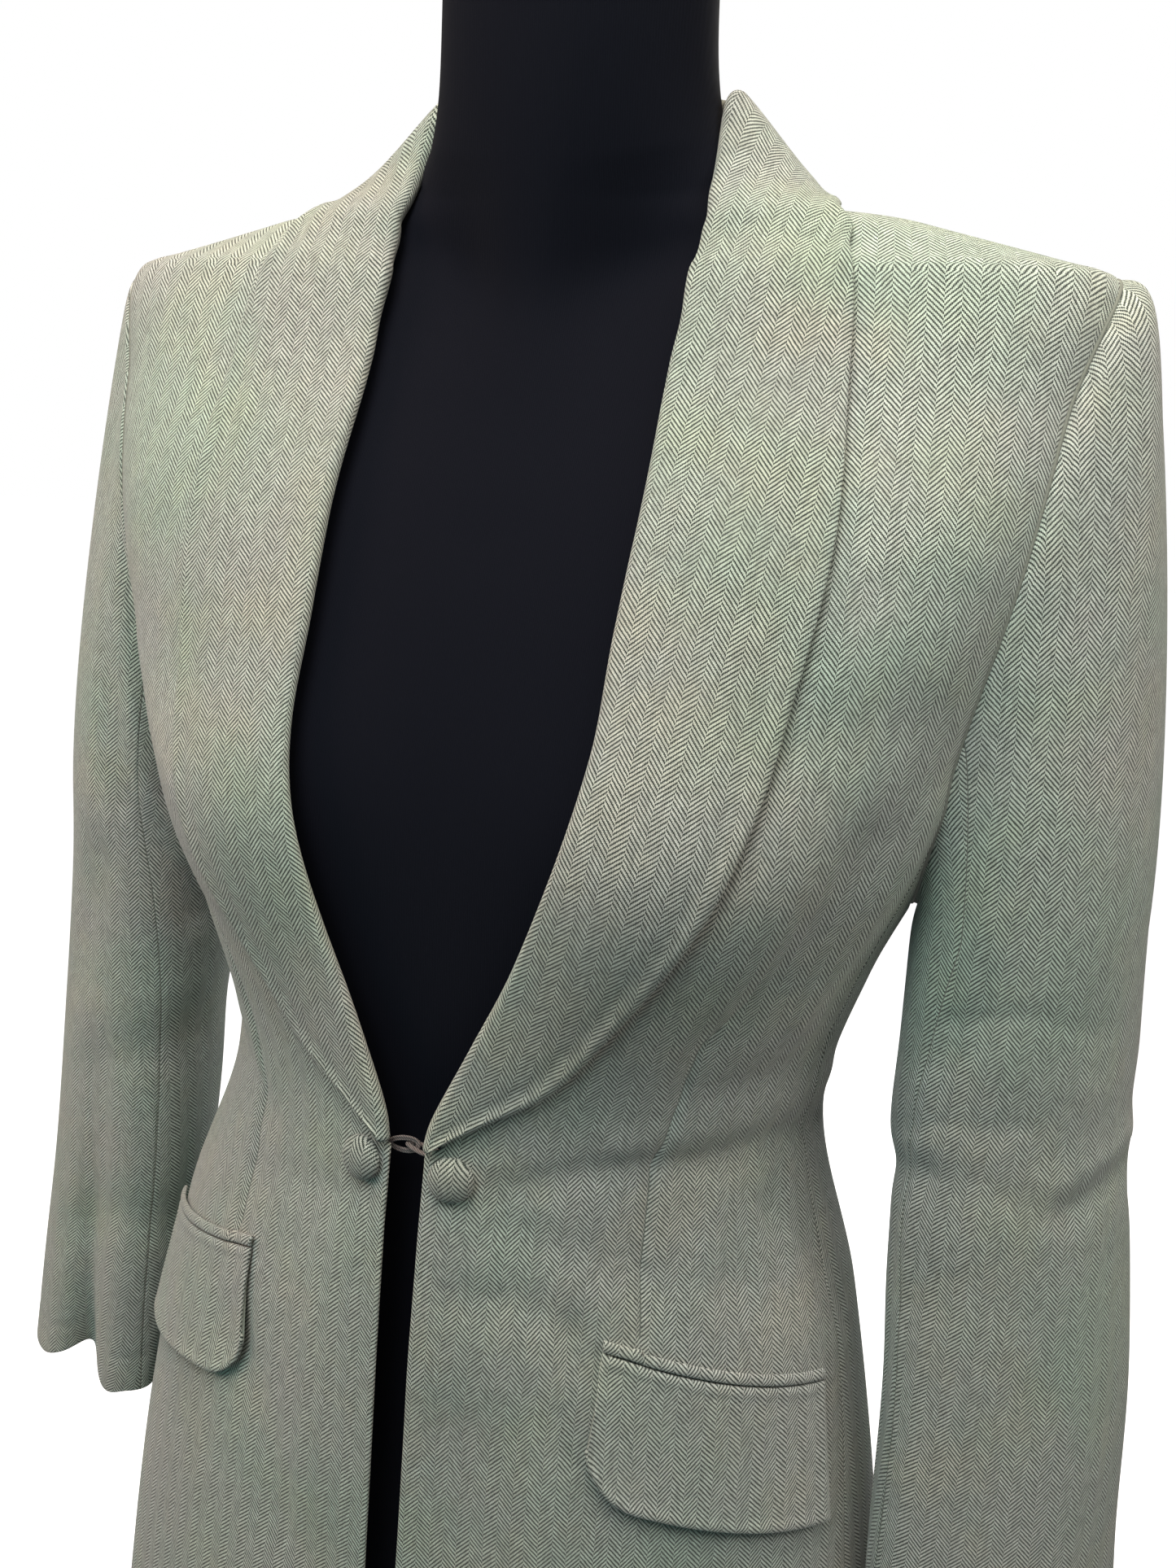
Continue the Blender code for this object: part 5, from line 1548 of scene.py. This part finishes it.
def stitch_group():
    """Node tree that lays one small rounded stitch along every edge of a mesh."""
    given = new_group("stitch_row", {"Length": 0.0012, "Thickness": 0.0002})
    mesh, thick = given["Geometry"], given["Thickness"]
    group = mesh.tree
    ends = group.nodes.new("GeometryNodeInputMeshEdgeVertices")
    ends = {k: Signal(group, ends.outputs["Position %d" % (2 - k)]) for k in (0, 1)}
    way = mesh.node("ShaderNodeVectorMath", {"operation": "SUBTRACT"}, ends)
    keep = group.nodes.new("GeometryNodeCaptureAttribute")
    keep.domain = "EDGE"
    keep.capture_items.new("VECTOR", "way")
    plug(group, keep, "Geometry", mesh)
    plug(group, keep, "way", way)
    kept, way = (Signal(group, keep.outputs[key]) for key in ("Geometry", "way"))
    points = kept.node("GeometryNodeMeshToPoints", {"mode": "EDGES"}, {"Mesh": kept})
    turn = way.node("FunctionNodeAlignRotationToVector", {"axis": "Z"}, {"Vector": way})
    sockets = {"Segments": 6, "Rings": 4, "Radius": 0.5}
    ball = mesh.node("GeometryNodeMeshUVSphere", {}, sockets)
    size = combine(thick, thick, given["Length"])
    sockets = {"Points": points, "Instance": ball, "Rotation": turn, "Scale": size}
    place = points.node("GeometryNodeInstanceOnPoints", {}, sockets)
    return close_group(place, given["Finish"])


def thread_finish(name, dark, pale):
    material, shader, place = new_finish(name, {"Roughness": 0.7, "Sheen Weight": 0.2})
    fuzz = noise(place, 2500.0)
    paint(shader, mix_colour(fuzz, dark, pale), fuzz, 0.0001, 0.3)
    return material


def dashes(points, length, gap):
    """Ends of stitches of one length, laid along a line of points with a gap between them."""
    steps = np.linalg.norm(np.diff(points, axis=0), axis=-1)
    at = np.concatenate(((0.0,), np.cumsum(steps)))
    starts = np.arange(gap, at[-1] - length - gap, length + gap)
    pairs = np.stack((starts, starts + length), 1).ravel()
    return np.stack([np.interp(pairs, at, points[:, k]) for k in range(3)], -1)


def body_line(side, angle, level, depth):
    """Line on the body, let down under the coat's face."""
    angle, level = np.broadcast_arrays(side * np.asarray(angle, float), np.asarray(level, float))
    return skin(angle, level) - normals_of(skin, angle, level) * depth


def sleeve_line(side, turn, down, lift):
    """Line down a sleeve at one turn, lifted off its face."""
    step = 0.002
    turns = np.full_like(down, math.radians(turn))
    line = sleeve_skin(turns, down, side)
    around = sleeve_skin(turns + step, down, side) - sleeve_skin(turns - step, down, side)
    out = unit(np.cross(np.gradient(line, axis=0), around))
    return (line + out * lift) * (side, 1.0, 1.0)


def seam_lines(side):
    """Every seam of one half of the coat that shows as a ditch between two pieces, and its dart."""
    low = HEM_LEVEL + 0.001
    front, behind = (np.linspace(low, 0.999 * float(armhole(turn)[1]), 260)
                     for turn in (FRONT_TURN, BACK_TURN))
    shoulder = np.linspace(ARMHOLE_TOP + 0.001, NECK_LEVEL - 0.002, 60)
    dart = np.linspace(*DART_ENDS, 90)
    down = np.concatenate((np.linspace(0.01, 1, 60), np.linspace(1, 6, 200)[1:]))
    lines = [body_line(side, seam_angle(front), front, SEAM_DEPTH),
             body_line(side, math.radians(SIDE_SEAM_BACK), behind, SEAM_DEPTH),
             body_line(side, math.pi / 2, shoulder, SEAM_DEPTH),
             sleeve_line(side, FRONT_SEAM, down, -SEAM_DEPTH),
             sleeve_line(side, BACK_SEAM, down, -SEAM_DEPTH),
             body_line(side, dart_angle(dart), dart, DART_DEPTH)]
    if side > 0:
        lines.append(body_line(side, math.pi, np.linspace(low, NECK_LEVEL, 300), SEAM_DEPTH))
    return lines


def chained(lines):
    """Points of some lines, and the edges that join up each of them."""
    starts = np.cumsum([0] + [len(line) for line in lines])
    edges = [(a, a + 1) for first, last in zip(starts, starts[1:]) for a in range(first, last - 1)]
    return np.concatenate(lines), edges


thread = thread_finish("sewing_thread", (0.055, 0.070, 0.055), (0.12, 0.145, 0.115))
# The seam folds are darker than the cloth. This is painted shade in the seams' ditches.
seam_fold_painted_shade = thread_finish("seam_fold_painted_shade", (0.085, 0.100, 0.085), (0.21, 0.235, 0.205))
hole_fold = thread_finish("armhole_fold", (0.12, 0.14, 0.12), (0.27, 0.30, 0.26))
stitch = stitch_group()
for word, side in SIDES:
    panels["seams_" + word] = grown("seam_ditches_painted_shade_" + word, *chained(seam_lines(side)), sweep,
                                    {"Radius": SEAM_FOLD_RADIUS, "Finish": seam_fold_painted_shade})
    hole = body_line(side, *armhole(np.linspace(0.0, 2 * math.pi, 260), SEAM_GAP), HOLE_DEPTH)
    panels["armhole_" + word] = grown("armhole_fold_" + word, *chained([hole]), sweep,
                                      {"Radius": HOLE_FOLD_RADIUS, "Finish": hole_fold})
for word, side in SIDES:
    front, back = (
        dashes(sleeve_line(side, turn, np.linspace(start, STITCH_END, 400), STITCH_LIFT),
               STITCH_LENGTH, STITCH_SPACE) for turn, start in STITCH_ROWS)
    vertices = np.concatenate((front, back))
    edges = [(i, i + 1) for i in range(0, len(vertices), 2)]
    panels["stitches_" + word] = grown(
        "sleeve_stitches_" + word, vertices, edges, stitch,
        {"Length": STITCH_LENGTH, "Thickness": STITCH_THICKNESS, "Finish": thread})
print("stitches on a sleeve:", len(front) // 2 + len(back) // 2)

# %% [markdown]
# ## Floor and light
#
# The photograph has a plain white ground and a soft light from above and in front, a little
# warmer at the shoulders. Area lights give soft shadows. The floor and the world are white to the
# camera, but light the coat hardly at all.

# %% Floor and lights
FLOOR_HALF = 30.0


def paint_floor():
    values = {"Roughness": 0.9, "Emission Color": (1.0, 1.0, 1.0, 1.0), "Emission Strength": 1.0}
    material, shader, place = new_finish("studio_floor", values)
    paint(shader, mix_colour(noise(place, 0.8), (0.93, 0.93, 0.93), (0.96, 0.96, 0.96)))
    return material


def add_floor():
    mesh = bpy.data.meshes.new("floor")
    corners = [(x * FLOOR_HALF, y * FLOOR_HALF, 0) for x, y in ((-1, -1), (1, -1), (1, 1), (-1, 1))]
    mesh.from_pydata(corners, [], [(0, 1, 2, 3)])
    mesh.materials.append(paint_floor())
    thing = add_thing("floor", mesh)
    return thing


def area_light(name, place, target, size, power, colour):
    data = bpy.data.lights.new(name, "AREA")
    data.shape = "DISK"
    data.size = size
    data.energy = power
    data.color = colour
    back = unit(np.array(place, float) - np.array(target, float))
    right = unit(np.cross((0.0, 0.001, 1.0), back))
    return add_thing(name, data, (right, np.cross(back, right), back), place)


def light_world(colour, strength):
    """A world that the camera sees white, and that lights the scene with this strength."""
    world = bpy.data.worlds.new("studio")
    world.use_nodes = True
    tree = world.node_tree
    background = tree.nodes["Background"]
    seen = add_node(tree, "ShaderNodeLightPath", {}, {})
    plug(tree, background, "Color", mix_colour(seen, colour, (1.0, 1.0, 1.0)))
    plug(tree, background, "Strength", seen * (1.0 - strength) + strength)
    bpy.context.scene.world = world


CHEST = (0.0, 0.0, 1.25)
floor = add_floor()
floor.visible_diffuse = False
area_light("window_left", (-1.45, -0.85, 1.90), CHEST, 0.8, 10.8, (1.0, 0.67, 0.54))
area_light("lamp_above", (0.0, -0.20, 2.30), CHEST, 0.8, 11.5, (1.0, 0.80, 0.62))
area_light("lamp_front", (-0.10, -0.80, 2.15), CHEST, 0.7, 9.5, (1.0, 0.98, 0.93))
area_light("lamp_right", (0.85, -0.60, 1.95), (0.2, 0.0, 1.2), 0.6, 2.6, (1.0, 0.90, 0.76))
area_light("lamp_side", (1.20, -0.15, 2.05), (0.28, 0.0, 1.3), 0.6, 5.6, (1.0, 0.94, 0.85))
area_light("fill_low", (-0.9, -2.0, 1.3), CHEST, 1.2, 2.8, (0.10, 1.0, 0.92))
area_light("fill_back", (0.2, 2.4, 1.60), CHEST, 1.5, 24.0, (1.0, 0.98, 0.92))
light_world((1.0, 1.0, 1.0), 0.03)
bpy.context.scene.view_settings.view_transform = "Standard"

# %% [markdown]
# ## Attach each piece
#
# Every piece rides on the model's one body, and each piece that is not a seam, armhole fold or
# stitch stands for the solid of its name, which is hidden. A table lists the size and area of what
# shows of each cloth piece, laid flat.

# %% Flat sizes of the cut pieces
CUTS = {
    # piece: width, length and area of what shows, how it is held
    "front": (0.268, 1.024, 0.188, "hung"),
    "side": (0.122, 0.761, 0.068, "hung"),
    "back": (0.316, 1.053, 0.215, "hung"),
    "collar": (0.147, 0.554, 0.0413, "folded"),
    "sleeve_top": (0.235, 0.590, 0.111, "hung"),
    "sleeve_under": (0.145, 0.419, 0.043, "hung"),
    "pocket_flap": (0.118, 0.097, 0.0070, "laid"),
    "pocket_welt": (0.114, 0.010, 0.00066, "laid"),
}


def surface(thing):
    """Area of a piece's outer face, in square metres."""
    return sum(p.area for p in thing.data.polygons) / 2


for name, thing in panels.items():
    part, _, word = name.rpartition("_")
    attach(thing, "root")
    if part in ("stitches", "seams", "armhole"):
        continue
    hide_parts(name)
    name + "_finish"
    print(name, round(surface(thing), 4), "square metres")
for name in panels:
    part, _, word = name.rpartition("_")
    part in CUTS
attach(form, "root")
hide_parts("dress_form")
